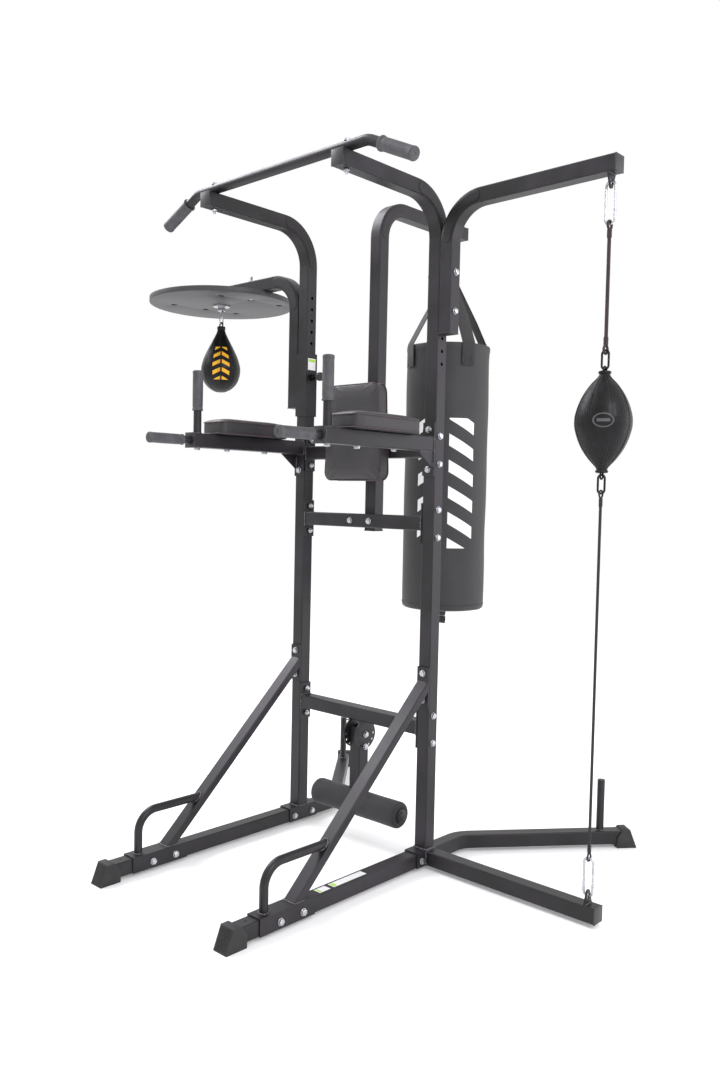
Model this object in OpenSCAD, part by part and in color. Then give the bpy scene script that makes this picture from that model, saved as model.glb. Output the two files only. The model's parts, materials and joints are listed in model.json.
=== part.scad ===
// Power tower with a speed bag platform, a heavy bag arm and a double-end bag arm.
// Units are millimetres. +X points to the double-end bag side, -Y to the dip handles, +Z up.

/* [Frame] */
// Side of the square frame tube
tube = 45; // [40:1:50]
// Wall of every steel tube
wall = 2; // [1.5:0.5:3]
// Outer corner radius of the frame tubes
tube_round = 4; // [3.5:0.5:5]
// Distance between the two upright centres
upright_gap = 575; // [520:5:640]
// Height of the pull-up arms' top face
arm_top = 2100; // [2000:5:2160]
// Reach of the pull-up arms in front of the uprights
arm_reach = 450; // [380:5:480]
// Height of the floor tubes' underside
floor_gap = 12; // [10:1:20]
// How far the floor tubes reach in front of the uprights, with the foot
front_reach = 819; // [780:1:860]
// Angle of the rear legs outwards
leg_angle = 40; // [35:1:50]

/* [Dip station] */
// Height of the dip arms' top face
dip_top = 1347; // [1340:1:1360]
// Reach of the dip arms in front of the uprights
dip_reach = 496; // [470:1:520]
// Outer diameter of the rubber grips
grip_d = 32; // [30:1:36]
// Diameter of the round handle tubes
round_d = 25; // [22:1:28]
// Length, width and thickness of an arm pad
pad_size = [120, 282, 48];
// Width, thickness and height of the back pad
back_size = [256, 48, 315];

/* [Speed bag platform] */
// Radius of the round board
board_r = 270; // [250:1:290]
// Thickness of the round board
board_t = 19; // [15:1:24]
// Distance from the mid-plane to the swivel
board_x = 762; // [740:1:790]
// Height of the board's underside at the lowest setting
board_z = 1877; // [1870:1:1890]
// Spacing of the height holes
hole_pitch = 39; // [35:1:42]

/* [Heavy bag] */
// Radius of the heavy bag
bag_r = 150; // [130:1:160]
// Heights of the heavy bag's bottom and top
bag_z = [760, 1703];
// Distance from the uprights to the bag's axis
bag_y = 435; // [420:1:470]
// Height of the heavy bag arm's top face
heavy_top = 2145; // [2120:1:2160]

/* [Double-end bag] */
// Distance from the mid-plane to the bag's axis
end_x = 862; // [850:1:866]
// Widest radius of the bag
end_r = 77; // [65:1:85]
// Height of the bag's widest part
end_z = 1372; // [1350:1:1400]
// Height of the arm's top face
end_top = 2073; // [2050:1:2085]

/* [Hidden] */
$fn = 48;

half = tube / 2;
side_x = upright_gap / 2;
plate_t = 5;
fit = 0.3;
// Weld line between the lengths of a bent tube
seam = 0.02;
powder = [0.10, 0.10, 0.11];
zinc = [0.78, 0.79, 0.80];
rubber = [0.16, 0.16, 0.17];
vinyl = [0.12, 0.11, 0.12];

// Floor tubes, saddles and legs
tube_z = floor_gap + half;
tube_top = floor_gap + tube;
saddle_t = 3;
saddle_w = tube + 2 * (saddle_t + fit);
saddle_top = tube_top + fit + saddle_t;
front_saddle = [-707, -508];
rear_saddle = [-65, 65];
foot_len = 69;
foot_w = 54;
foot_top = tube_top + 5;
foot_slope = 24;
tube_in_foot = 40;
front_end = -front_reach + foot_len - tube_in_foot;
leg_r = 100;
leg_turn = 147;
leg_len = 540;
post_along = 448;
bend_x = leg_r * (1 - cos(leg_angle));
bend_y = leg_r * sin(leg_angle);
leg_end = [
    side_x + bend_x + leg_len * sin(leg_angle),
    leg_turn + bend_y + leg_len * cos(leg_angle)
];
side_end = 893;

// The origin of the whole model stands under the middle of its box
far_foot = foot_len - tube_in_foot;
back_edge = leg_end[1] + far_foot * cos(leg_angle) + foot_w / 2 * sin(leg_angle);
plug_t = 3;
plug_in = tube - 2 * wall - 0.4;
centre = [
    (end_x + end_r - board_x - board_r) / 2,
    (back_edge - front_reach) / 2,
    0
];

// Bends of the top arms: radius at the middle of the tube
arm_bend = 127;
heavy_bend = 107;
end_bend = 117;
speed_bend = 107;

// Crossbars
bar_z = [437, 1080, 1307];
bar_bolt = 43;
bar_len = upright_gap - tube - 2 * plate_t;

// Braces, 45 wide and 25 thick
brace_t = 25;
brace_top = [-half - plate_t, 572];
brace_angle = 43.6;
brace_run = (brace_top[1] - saddle_top) / tan(brace_angle);
handle_y = -673;
handle_z = 185;
handle_r = 62;

// Dip arms
dip_z = dip_top - half;
dip_bolts = [1247, 1369];
upright_handle_y = -470;
upright_handle_top = 1543;
forward_handle_end = -652;
grip_len = 125;
pad_y = [-412, -130];
pad_bolts = [-350, -190];

// Pull-up bar
pull_r = 15;
pull_y = -415;
pull_z = arm_top + pull_r;
pull_drop = 25;
pull_bend = 70;
pull_half = 352;
pull_end = 165;
pull_grip = 128;

// Bolts
bolt_r = 4.9;
bolt_hole = 5.5;
head_r = 9.2;
head_h = 6.4;
washer_r = 10.5;
washer_t = 2;
nut_h = 8;

// Heavy bag post
post_y = half + 4 + half;
post_bottom = 1048;
heavy_end = 504;

// Double-end arm
end_post_bottom = 1662;
end_post_x = side_x + tube;
arm_end_x = 883;
hook_top = 2001;
floor_eye = 94;

// Speed bag carriage
sleeve_z = [1435, 1652];
sleeve_wall = 2.5;
liner_t = 0.6;
sleeve_w = tube + 2 * (0.1 + liner_t + sleeve_wall);
speed_x = -side_x - sleeve_w / 2 - half;
speed_bottom = 1468;
board_top = board_z + board_t;
speed_arm_z = board_top + half;
speed_arm_end = -board_x - 28;
hole_low = 1570;
hole_count = 8;
hole_r = 5.5;
pin_r = 4.5;

// Roller
index_z = 368;
index_r = 49;
index_t = 4.5;
index_in = 23;
lock_drop = 41;
roller_z = 133;
roller_r = 43;
roller_half = 188;
tongue_t = 6;
axle_r = 12.5;

// ---------------------------------------------------------------- shared shapes

// Puts a piece into the model's frame
module place() { translate(-centre) children(); }

// Rectangle with rounded corners
module soft_rectangle(w, h, r) {
    square([w - 2 * r, h], center = true);
    square([w, h - 2 * r], center = true);
    for (x = [-1, 1], y = [-1, 1]) translate([x * (w / 2 - r), y * (h / 2 - r)]) circle(r = r);
}

module tube_section(w = tube, h = tube) {
    difference() {
        soft_rectangle(w, h, tube_round);
        soft_rectangle(w - 2 * wall, h - 2 * wall, tube_round - wall);
    }
}

module square_tube(length) {
    linear_extrude(length) tube_section();
}

module round_tube(length, r, bore) {
    difference() {
        cylinder(h = length, r = r);
        translate([0, 0, -1]) cylinder(h = length + 2, r = bore);
    }
}

// Square tube that stands up from bottom, bends over radius r and runs out along +X to reach
module bent_arm(bottom, top, r, reach) {
    start = top - half - r;
    translate([0, 0, bottom]) square_tube(start - bottom);
    translate([r, 0, start]) rotate([90, 0, 0]) rotate([0, 0, 90])
        rotate_extrude(angle = 90, $fn = 96) translate([r, 0]) tube_section();
    translate([r, 0, top - half]) rotate([0, 90, 0]) square_tube(reach - r);
}

// Through bolt: the head stands on the origin along +Z, the shank passes down through grip
module bolt(grip) {
    translate([0, 0, washer_t]) cylinder(h = head_h, r = head_r, $fn = 6);
    translate([0, 0, -grip - nut_h - 2 * washer_t - 3])
        cylinder(h = grip + nut_h + 3 * washer_t + 3, r = bolt_r);
}

module bolt_washers_and_nut(grip) {
    difference() {
        union() {
            cylinder(h = washer_t, r = washer_r);
            translate([0, 0, -grip - washer_t]) cylinder(h = washer_t, r = washer_r);
            translate([0, 0, -grip - washer_t - nut_h]) cylinder(h = nut_h, r = head_r, $fn = 6);
        }
        translate([0, 0, -grip - nut_h - 10]) cylinder(h = grip + nut_h + 20, r = bolt_r + 0.1);
    }
}

module bolt_hole(grip, r = bolt_hole) {
    translate([0, 0, -grip - 1]) cylinder(h = grip + 2, r = r);
}

// Each bolt is [place, turn, grip]
function front_saddle_bolts(s) = [
    for (y = [-635, -552]) [[s * side_x + saddle_w / 2, y, tube_z - 3], [0, 90, 0], saddle_w]
];
function rear_saddle_bolts(s) = [
    for (y = [-42, 42]) [[s * side_x + saddle_w / 2, y, tube_z - 3], [0, 90, 0], saddle_w]
];
function brace_bolts(s) = [
    for (z = [brace_top[1] - 42, brace_top[1] + 42])
        [[s * side_x, -half - plate_t, z], [90, 0, 0], tube + plate_t]
];
function dip_plate_bolts(s) = [
    for (z = dip_bolts) [[s * side_x, -half - plate_t, z], [90, 0, 0], tube + plate_t]
];
function crossbar_bolts(s, z) = [
    for (d = [-bar_bolt, bar_bolt])
        [[s * (side_x + half), 0, z + d], [0, s * 90, 0], tube + plate_t]
];
function heavy_post_bolts() = [
    for (x = [-42, 42]) [[x, -half, bar_z[1]], [90, 0, 0], tube + 4]
];
function double_end_bolts() = [
    for (i = [4, 7]) [[end_post_x + half, 0, hole_low + i * hole_pitch], [0, 90, 0], 2 * tube]
];
function pull_bar_bolts(s) = [
    [[s * side_x, pull_y, pull_z + pull_r - 2], [0, 0, 0], tube + 2 * pull_r - 2]
];
function handle_bolts(s) = [
    [[s * side_x, upright_handle_y, dip_top - tube], [180, 0, 0], wall]
];
function index_bolts() = [
    for (z = [index_z, index_z - lock_drop])
        [[index_in + index_t, 0, z], [0, 90, 0], 2 * (index_in + index_t)]
];

// Short screws up through the dip arms into the pads: [place, turn, grip]
function pad_screws(s) = [
    for (y = pad_bolts) [[s * side_x, y, dip_top - tube], [180, 0, 0], tube]
];
function back_pad_screws() = [
    for (x = [-42, 42]) [[x, half + 4, bar_z[2]], [-90, 0, 0], tube + 4]
];

ALL_BOLTS = concat(
    [for (s = [-1, 1]) each front_saddle_bolts(s)],
    [for (s = [-1, 1]) each rear_saddle_bolts(s)],
    [for (s = [-1, 1]) each brace_bolts(s)],
    [for (s = [-1, 1]) each dip_plate_bolts(s)],
    [for (s = [-1, 1], z = bar_z) each crossbar_bolts(s, z)],
    [for (s = [-1, 1]) each pull_bar_bolts(s)],
    heavy_post_bolts(),
    double_end_bolts(),
    index_bolts()
);
ALL_SCREWS = concat([for (s = [-1, 1]) each pad_screws(s)], back_pad_screws());

module holes(list, r = bolt_hole) {
    for (b = list) translate(b[0]) rotate(b[1]) bolt_hole(b[2], r);
}

// ---------------------------------------------------------------- base

// U-shaped saddle that straddles a floor tube between two places along Y
module saddle(span) {
    translate([0, span[0], floor_gap]) difference() {
        translate([-saddle_w / 2, 0, 0]) cube([saddle_w, span[1] - span[0], tube + fit + saddle_t]);
        translate([-half - fit, -1, -1]) cube([tube + 2 * fit, span[1] - span[0] + 2, tube + fit + 1]);
    }
}

// One side's floor tube, with its rear leg bent outwards; s is 1 on the right
module floor_tube(s) {
    mirror([s < 0 ? 1 : 0, 0, 0]) translate([side_x, 0, tube_z]) {
        translate([0, front_end, 0]) rotate([-90, 0, 0]) square_tube(leg_turn - front_end - seam);
        translate([leg_r, leg_turn, 0]) rotate([0, 0, 180 - leg_angle])
            rotate_extrude(angle = leg_angle, $fn = 96) translate([leg_r, 0]) tube_section();
        translate([bend_x, leg_turn + bend_y, 0]) rotate([-90, 0, -leg_angle])
            translate([0, 0, seam]) square_tube(leg_len - seam);
    }
}

module floor_tube_cut(s) {
    difference() {
        floor_tube(s);
        holes(front_saddle_bolts(s));
        holes(rear_saddle_bolts(s));
        translate([s * side_x, -735, tube_z]) cylinder(h = tube, r = 3);
    }
}

module left_floor_tube() { color(powder) place() floor_tube_cut(-1); }
module right_floor_tube() { color(powder) place() floor_tube_cut(1); }

module side_floor_tube() {
    color(powder) place()
        translate([side_x + saddle_w / 2, 0, tube_z]) rotate([0, 90, 0])
            square_tube(side_end - side_x - saddle_w / 2);
}

// Rubber foot in its own frame: the tube comes in along +Y, the sloped face is at -Y
module foot() {
    difference() {
        translate([-foot_w / 2, 0, 0]) rotate([90, 0, 90]) linear_extrude(foot_w) polygon([
            [0, 0], [foot_len, 0], [foot_len, tube_z], [foot_len - 16, tube_top],
            [foot_len - 20, foot_top], [foot_slope, foot_top]
        ]);
        translate([-half, foot_len - tube_in_foot, floor_gap]) cube([tube, foot_len, tube]);
    }
}

module rubber_feet() {
    color(rubber) place() {
        for (s = [-1, 1]) {
            translate([s * side_x, -front_reach, 0]) foot();
            mirror([s < 0 ? 1 : 0, 0, 0]) translate([leg_end[0], leg_end[1], 0])
                rotate([0, 0, 180 - leg_angle]) translate([0, -(foot_len - tube_in_foot), 0]) foot();
        }
    }
}

post_at = [
    side_x + bend_x + post_along * sin(leg_angle),
    leg_turn + bend_y + post_along * cos(leg_angle)
];
post_h = 170;

module plate_posts() {
    color(powder) place() for (s = [-1, 1])
        translate([s * post_at[0], post_at[1], tube_top]) {
            round_tube(post_h - 3, round_d / 2, round_d / 2 - wall);
            translate([0, 0, post_h - 3]) cylinder(h = 3, r = round_d / 2);
        }
}

// ---------------------------------------------------------------- uprights and braces

module height_holes() {
    for (i = [0 : hole_count - 1]) translate([0, 0, hole_low + i * hole_pitch])
        rotate([0, 90, 0]) cylinder(h = tube, r = hole_r);
}

module upright(s) {
    difference() {
        union() {
            translate([s * side_x, 0, 0]) rotate([0, 0, -90])
                bent_arm(saddle_top, arm_top, arm_bend, arm_reach);
            translate([s * side_x, 0, 0]) saddle(rear_saddle);
        }
        translate([s * side_x, 0, 0]) height_holes();
        holes(rear_saddle_bolts(s));
        holes(brace_bolts(s));
        holes(dip_plate_bolts(s));
        for (z = bar_z) holes(crossbar_bolts(s, z));
        holes(pull_bar_bolts(s));
        if (s > 0) holes(double_end_bolts());
    }
}

module left_upright() { color(powder) place() upright(-1); }
module right_upright() { color(powder) place() upright(1); }

// Brace with its bolting plate at the top and its saddle over the floor tube
module brace(s) {
    difference() {
        translate([s * side_x, 0, 0]) {
            intersection() {
                translate([0, brace_top[0], brace_top[1]]) rotate([90 + brace_angle, 0, 0])
                    translate([0, 0, -60]) linear_extrude(900) tube_section(tube, brace_t);
                translate([-half, brace_top[0] - 800, saddle_top])
                    cube([tube, 800, brace_top[1]]);
            }
            translate([-half, brace_top[0], brace_top[1] - 62]) cube([tube, plate_t, 124]);
            saddle(front_saddle);
        }
        holes(brace_bolts(s));
        holes(front_saddle_bolts(s));
    }
}

module left_brace() { color(powder) place() brace(-1); }
module right_brace() { color(powder) place() brace(1); }

// Where the brace's front face is at the handle's height
handle_joint = brace_top[0] - (brace_top[1] + brace_t / 2 / cos(brace_angle) - handle_z)
    / tan(brace_angle);

module push_up_handle(s) {
    bore = round_d / 2 - wall;
    cut_y = handle_joint + 20;
    translate([s * side_x, handle_y, saddle_top])
        round_tube(handle_z - handle_r - saddle_top, round_d / 2, bore);
    translate([s * side_x, handle_y + handle_r, handle_z - handle_r]) rotate([90, 0, 90])
        rotate([0, 0, 90]) rotate_extrude(angle = 90, $fn = 96) translate([handle_r, 0])
            difference() { circle(d = round_d); circle(r = bore); }
    difference() {
        translate([s * side_x, handle_y + handle_r, handle_z]) rotate([-90, 0, 0])
            round_tube(cut_y - handle_y - handle_r, round_d / 2, bore);
        translate([s * side_x, brace_top[0], brace_top[1]]) rotate([90 + brace_angle, 0, 0])
            translate([-tube, brace_t / 2 - 200, 0]) cube([2 * tube, 200, 900]);
    }
}

module left_push_up_handle() { color(powder) place() push_up_handle(-1); }
module right_push_up_handle() { color(powder) place() push_up_handle(1); }

// ---------------------------------------------------------------- crossbars

module crossbar(z, drill) {
    difference() {
        translate([0, 0, z]) {
            translate([-bar_len / 2, 0, 0]) rotate([0, 90, 0]) square_tube(bar_len);
            for (s = [-1, 1]) translate([s * (bar_len + plate_t) / 2, 0, 0])
                cube([plate_t, tube, 2 * bar_bolt + 40], center = true);
        }
        for (s = [-1, 1]) holes(crossbar_bolts(s, z));
        holes(drill);
    }
}

module lower_crossbar() { color(powder) place() crossbar(bar_z[0], []); }
module middle_crossbar() { color(powder) place() crossbar(bar_z[1], heavy_post_bolts()); }
module upper_crossbar() { color(powder) place() crossbar(bar_z[2], back_pad_screws()); }

// Two round plates under the lower crossbar, with a ring of angle holes
module index_plates() {
    under = bar_z[0] - half;
    color(powder) place() for (s = [-1, 1])
        difference() {
            translate([s * (index_in + index_t / 2), 0, 0]) {
                translate([0, 0, index_z]) rotate([0, 90, 0])
                    cylinder(h = index_t, r = index_r, center = true, $fn = 96);
            }
            translate([-tube, -tube, under]) cube([2 * tube, 2 * tube, tube]);
            translate([-tube, 0, index_z]) rotate([0, 90, 0]) cylinder(h = 2 * tube, r = bolt_hole);
            for (a = [0 : 30 : 180]) translate([0, 0, index_z]) rotate([a - 90, 0, 0])
                translate([-tube, 0, -lock_drop]) rotate([0, 90, 0])
                    cylinder(h = 2 * tube, r = a == 90 ? bolt_hole : 4);
        }
}

// ---------------------------------------------------------------- roller

hanger_top = index_z + 24;
hanger_bottom = roller_z + roller_r + 6;

module roller_hanger() {
    color(powder) place() difference() {
        union() {
            translate([0, 0, hanger_bottom]) square_tube(hanger_top - hanger_bottom);
            translate([-half, -half, hanger_bottom]) cube([tube, tube, 4]);
            translate([-tongue_t / 2, -20, roller_z - 24])
                cube([tongue_t, 40, hanger_bottom - roller_z + 24]);
        }
        holes(index_bolts());
        translate([-tube, 0, roller_z]) rotate([0, 90, 0]) cylinder(h = 2 * tube, r = axle_r + 0.1);
    }
}

module roller_axle() {
    color(zinc) place() translate([-roller_half - 6, 0, roller_z]) rotate([0, 90, 0])
        cylinder(h = 2 * roller_half + 12, r = axle_r);
}

module roller_end_caps() {
    color(rubber) place() for (s = [-1, 1])
        translate([s * (roller_half + 2), 0, roller_z]) rotate([0, s * 90, 0]) difference() {
            union() {
                cylinder(h = 3, r = 22);
                cylinder(h = 9, r = 15);
            }
            translate([0, 0, -1]) cylinder(h = 5.1, r = axle_r + 0.1);
        }
}

module roller_foam(s) {
    inner = tongue_t / 2 + 2;
    translate([s * inner, 0, roller_z]) rotate([0, s * 90, 0]) difference() {
        cylinder(h = roller_half - inner, r = roller_r, $fn = 96);
        translate([0, 0, -1]) cylinder(h = 2 * roller_half, r = axle_r + 0.4);
    }
}

module left_roller_foam() { color(rubber) place() roller_foam(-1); }
module right_roller_foam() { color(rubber) place() roller_foam(1); }

// ---------------------------------------------------------------- dip station

module dip_arm(s) {
    plate = [dip_bolts[0] - 20, dip_bolts[1] + 22];
    front = -half - plate_t;
    difference() {
        translate([s * side_x, 0, 0]) {
            translate([0, front, dip_z]) rotate([90, 0, 0]) square_tube(dip_reach + front);
            translate([-half, front, plate[0]]) cube([tube, plate_t, plate[1] - plate[0]]);
            translate([s * (half - 6) - 2, 0, 0]) rotate([90, 0, 90]) linear_extrude(4) polygon([
                [front, dip_top - tube], [front - 70, dip_top - tube], [front, dip_top - tube - 52]
            ]);
        }
        holes(dip_plate_bolts(s));
        holes(pad_screws(s));
        translate([s * side_x, upright_handle_y, dip_top - tube - 1])
            cylinder(h = tube + 2, r = bolt_hole);
    }
}

module left_dip_arm() { color(powder) place() dip_arm(-1); }
module right_dip_arm() { color(powder) place() dip_arm(1); }

module dip_handle_tubes() {
    bore = round_d / 2 - wall;
    color(powder) place() for (s = [-1, 1]) {
        translate([s * side_x, upright_handle_y, dip_top])
            round_tube(upright_handle_top - dip_top - 4, round_d / 2, bore);
        translate([s * side_x, -dip_reach + 18, dip_z]) rotate([90, 0, 0])
            round_tube(-forward_handle_end - dip_reach + 14, round_d / 2, bore);
    }
}

// Rubber grip in its own frame: open end with its flange at the origin, closed end up +Z
module grip(length) {
    difference() {
        union() {
            cylinder(h = 4, r = grip_d / 2 + 2.5);
            cylinder(h = length - 2, r = grip_d / 2);
            translate([0, 0, length - 2]) cylinder(h = 2, r1 = grip_d / 2, r2 = grip_d / 2 - 2);
        }
        translate([0, 0, -1]) cylinder(h = length - 3, r = round_d / 2 + 0.15);
    }
}

module dip_grips(s) {
    translate([s * side_x, upright_handle_y, upright_handle_top - grip_len]) grip(grip_len);
    translate([s * side_x, forward_handle_end + grip_len, dip_z]) rotate([90, 0, 0]) grip(grip_len);
}

module left_dip_grips() { color(rubber) place() dip_grips(-1); }
module right_dip_grips() { color(rubber) place() dip_grips(1); }

module arm_pad(s) {
    screw = 22;
    difference() {
        translate([s * side_x - pad_size[0] / 2, pad_y[0], dip_top])
            cube([pad_size[0], pad_y[1] - pad_y[0], pad_size[2]]);
        for (y = pad_bolts) translate([s * side_x, y, dip_top - 1]) cylinder(h = screw, r = 5);
    }
}

module left_arm_pad() { color(vinyl) place() arm_pad(-1); }
module right_arm_pad() { color(vinyl) place() arm_pad(1); }

back_bottom = 1210;

module back_pad() {
    color(vinyl) place() difference() {
        translate([-back_size[0] / 2, -half - back_size[1], back_bottom])
            cube([back_size[0], back_size[1], back_size[2]]);
        for (x = [-42, 42]) translate([x, -half + 1, bar_z[2]]) rotate([90, 0, 0])
            cylinder(h = 22, r = 5);
    }
}

// ---------------------------------------------------------------- pull-up bar

// One bent-down end of the bar; children stand on the bend's end, along +Z
module bar_end(s) {
    mirror([s < 0 ? 1 : 0, 0, 0]) translate([pull_half, 0, -pull_bend]) {
        rotate([90, 0, 0]) rotate([0, 0, 90 - pull_drop])
            rotate_extrude(angle = pull_drop, $fn = 96) translate([pull_bend, 0])
                difference() { circle(r = pull_r); circle(r = pull_r - wall); }
        rotate([0, pull_drop, 0]) translate([seam, 0, pull_bend]) rotate([0, 90, 0]) children();
    }
}

module pull_up_bar() {
    bore = pull_r - wall;
    straight = pull_half - seam;
    color(powder) place() {
        difference() {
            translate([-straight, pull_y, pull_z]) rotate([0, 90, 0])
                round_tube(2 * straight, pull_r, bore);
            for (s = [-1, 1]) {
                holes(pull_bar_bolts(s));
                translate([s * side_x, pull_y, pull_z + pull_r - 2]) cylinder(h = 20, r = 12);
            }
        }
        translate([0, pull_y, pull_z]) for (s = [-1, 1])
            bar_end(s) round_tube(pull_end - 4, pull_r, bore);
    }
}

module pull_up_grips() {
    color(rubber) place() translate([0, pull_y, pull_z]) for (s = [-1, 1])
        mirror([s < 0 ? 1 : 0, 0, 0])
        translate([pull_half + pull_bend * sin(pull_drop), 0, -pull_bend * (1 - cos(pull_drop))])
            rotate([0, 90 + pull_drop, 0]) translate([0, 0, pull_end - pull_grip]) difference() {
                union() {
                    cylinder(h = 4, r = pull_r + 6);
                    cylinder(h = pull_grip, r = pull_r + 3.5);
                }
                translate([0, 0, -1]) cylinder(h = pull_grip - 2.8, r = pull_r + 0.15);
            }
}

// ---------------------------------------------------------------- bag arms and eyelets

module heavy_bag_post() {
    color(powder) place() difference() {
        union() {
            translate([0, post_y, 0]) rotate([0, 0, 90])
                bent_arm(post_bottom, heavy_top, heavy_bend, heavy_end - post_y);
            for (z = [bar_z[1], bar_z[2]])
                translate([-62, half, z - 22]) cube([124, 4, 44]);
        }
        holes(heavy_post_bolts());
        holes(back_pad_screws());
    }
}

module double_end_arm() {
    color(powder) place() difference() {
        translate([end_post_x, 0, 0])
            bent_arm(end_post_bottom, end_top, end_bend, arm_end_x - end_post_x);
        holes(double_end_bolts());
    }
}

// Bent plate eyelet: base on the origin, tip at +Z
module eyelet(h, w = 40) {
    rotate([90, 0, 0]) linear_extrude(5, center = true) difference() {
        polygon([[-w / 2, 0], [w / 2, 0], [7, h - 3], [4, h], [-4, h], [-7, h - 3]]);
        translate([0, h - 17]) circle(r = 8, $fn = 40);
    }
}

module bag_eyelets() {
    color(powder) place() {
        translate([end_x, 0, end_top - tube]) rotate([180, 0, 90]) eyelet(end_top - tube - hook_top + 12);
        translate([end_x, 0, tube_top]) rotate([0, 0, 90]) eyelet(floor_eye + 2 - tube_top);
        translate([0, bag_y, heavy_top - tube]) rotate([180, 0, 0]) eyelet(40);
    }
}

module plug(size = tube) {
    translate([0, 0, plug_t / 2]) cube([size, size, plug_t], center = true);
}

module tube_plugs() {
    color(rubber) place() {
        translate([side_end, 0, tube_z]) rotate([0, 90, 0]) plug();
        translate([arm_end_x, 0, end_top - half]) rotate([0, 90, 0]) plug();
        translate([0, heavy_end, heavy_top - half]) rotate([-90, 0, 0]) plug();
        translate([0, post_y, post_bottom - plug_t]) plug();
        translate([end_post_x, 0, end_post_bottom - plug_t]) plug();
        for (s = [-1, 1]) {
            translate([s * side_x, -arm_reach, arm_top - half]) rotate([90, 0, 0]) plug();
            translate([s * side_x, -dip_reach, dip_z]) rotate([90, 0, 0]) difference() {
                union() {
                    plug(tube + 3);
                    translate([0, 0, -17]) linear_extrude(17)
                        soft_rectangle(plug_in, plug_in, tube_round - wall);
                }
                translate([0, 0, -20]) cylinder(h = 40, r = round_d / 2 + 0.1);
            }
        }
    }
}

// ---------------------------------------------------------------- fasteners

module frame_bolts() {
    color(zinc) place() {
        for (b = ALL_BOLTS) translate(b[0]) rotate(b[1]) bolt(b[2]);
        for (b = ALL_SCREWS) translate(b[0]) rotate(b[1]) {
            translate([0, 0, washer_t]) cylinder(h = head_h, r = head_r, $fn = 6);
            translate([0, 0, -b[2] - 18]) cylinder(h = b[2] + 18 + washer_t, r = bolt_r);
        }
        for (s = [-1, 1]) translate([s * side_x, upright_handle_y, dip_top - tube - washer_t]) {
            translate([0, 0, -head_h]) cylinder(h = head_h, r = head_r, $fn = 6);
            cylinder(h = tube + washer_t + 10, r = bolt_r);
        }
    }
}

module nuts_and_washers() {
    color(zinc) place() {
        for (b = ALL_BOLTS) translate(b[0]) rotate(b[1]) bolt_washers_and_nut(b[2]);
        for (b = ALL_SCREWS) translate(b[0]) rotate(b[1]) difference() {
            cylinder(h = washer_t, r = washer_r);
            translate([0, 0, -1]) cylinder(h = washer_t + 2, r = bolt_r + 0.1);
        }
        for (s = [-1, 1]) translate([s * side_x, upright_handle_y, dip_top - tube - washer_t])
            difference() {
                cylinder(h = washer_t, r = washer_r);
                translate([0, 0, -1]) cylinder(h = washer_t + 2, r = bolt_r + 0.1);
            }
    }
}

// ---------------------------------------------------------------- speed bag carriage

module sleeve_ring(outer, inner, z0, z1) {
    translate([-side_x, 0, z0]) linear_extrude(z1 - z0) difference() {
        square(outer, center = true);
        square(inner, center = true);
    }
}

pin_z = hole_low;

module platform_sleeve() {
    color(powder) place() difference() {
        sleeve_ring(sleeve_w, sleeve_w - 2 * sleeve_wall, sleeve_z[0], sleeve_z[1]);
        translate([-side_x, 0, pin_z]) rotate([0, 90, 0]) cylinder(h = tube, r = pin_r + 0.3);
    }
}

module liners_and_arm_plugs() {
    liner_out = sleeve_w - 2 * sleeve_wall;
    color(rubber) place() {
        sleeve_ring(liner_out, tube + 0.2, sleeve_z[0], sleeve_z[0] + 40);
        sleeve_ring(liner_out, tube + 0.2, sleeve_z[1] - 40, sleeve_z[1]);
        translate([speed_x, 0, speed_bottom - plug_t]) plug();
        translate([speed_arm_end, 0, speed_arm_z]) rotate([0, -90, 0]) plug();
    }
}

module platform_arm() {
    color(powder) place() difference() {
        translate([speed_x, 0, 0]) rotate([0, 0, 180])
            bent_arm(speed_bottom, speed_arm_z + half, speed_bend, speed_x - speed_arm_end);
        translate([-board_x + board_hole_x, 0, board_z]) cylinder(h = 100, r = bolt_hole);
        translate([-board_x, 0, board_z]) cylinder(h = 100, r = stud_r + 0.3);
    }
}

// The board's two rows of recessed holes, and the swivel's stud through its middle
board_hole_x = 172;
board_holes = [[-131, -124], [-104, 5], [-76, 134], [143, -116], [board_hole_x, 0], [182, 130]];
stud_r = 6;

module platform_board() {
    color([0.22, 0.22, 0.23]) place() difference() {
        translate([-board_x, 0, board_z]) cylinder(h = board_t, r = board_r, $fn = 160);
        translate([-board_x, 0, board_z - 1]) {
            cylinder(h = board_t + 2, r = stud_r + 0.3);
            for (h = board_holes) translate([h[0], h[1], 0]) {
                cylinder(h = board_t + 2, r = bolt_hole);
                cylinder(h = 9, r = 12);
            }
        }
    }
}

module platform_bolts() {
    color(zinc) place() {
        translate([-board_x + board_hole_x, 0, board_z + 1]) {
            cylinder(h = head_h, r = head_r, $fn = 6);
            cylinder(h = board_t + tube + 10, r = bolt_r);
        }
        for (x = [0, board_hole_x]) translate([x - board_x, 0, board_top + tube]) difference() {
            cylinder(h = nut_h, r = head_r + 2, $fn = 6);
            translate([0, 0, -1]) cylinder(h = nut_h + 2, r = (x == 0 ? stud_r : bolt_r) + 0.1);
        }
    }
}

// Swivel: a round flange under the board with a socket for the ball
ball_r = 9;
ball_z = board_z - 17;

module swivel_flange() {
    color(zinc) place() translate([-board_x, 0, 0]) difference() {
        union() {
            translate([0, 0, board_z - 5]) cylinder(h = 5, r = 32);
            translate([0, 0, board_z - 4]) cylinder(h = board_t + tube + 16, r = stud_r);
            translate([0, 0, ball_z - 2.5]) cylinder(h = board_z - ball_z - 2, r = 15);
        }
        translate([0, 0, ball_z]) sphere(r = ball_r + 0.3, $fn = 64);
    }
}

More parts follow.
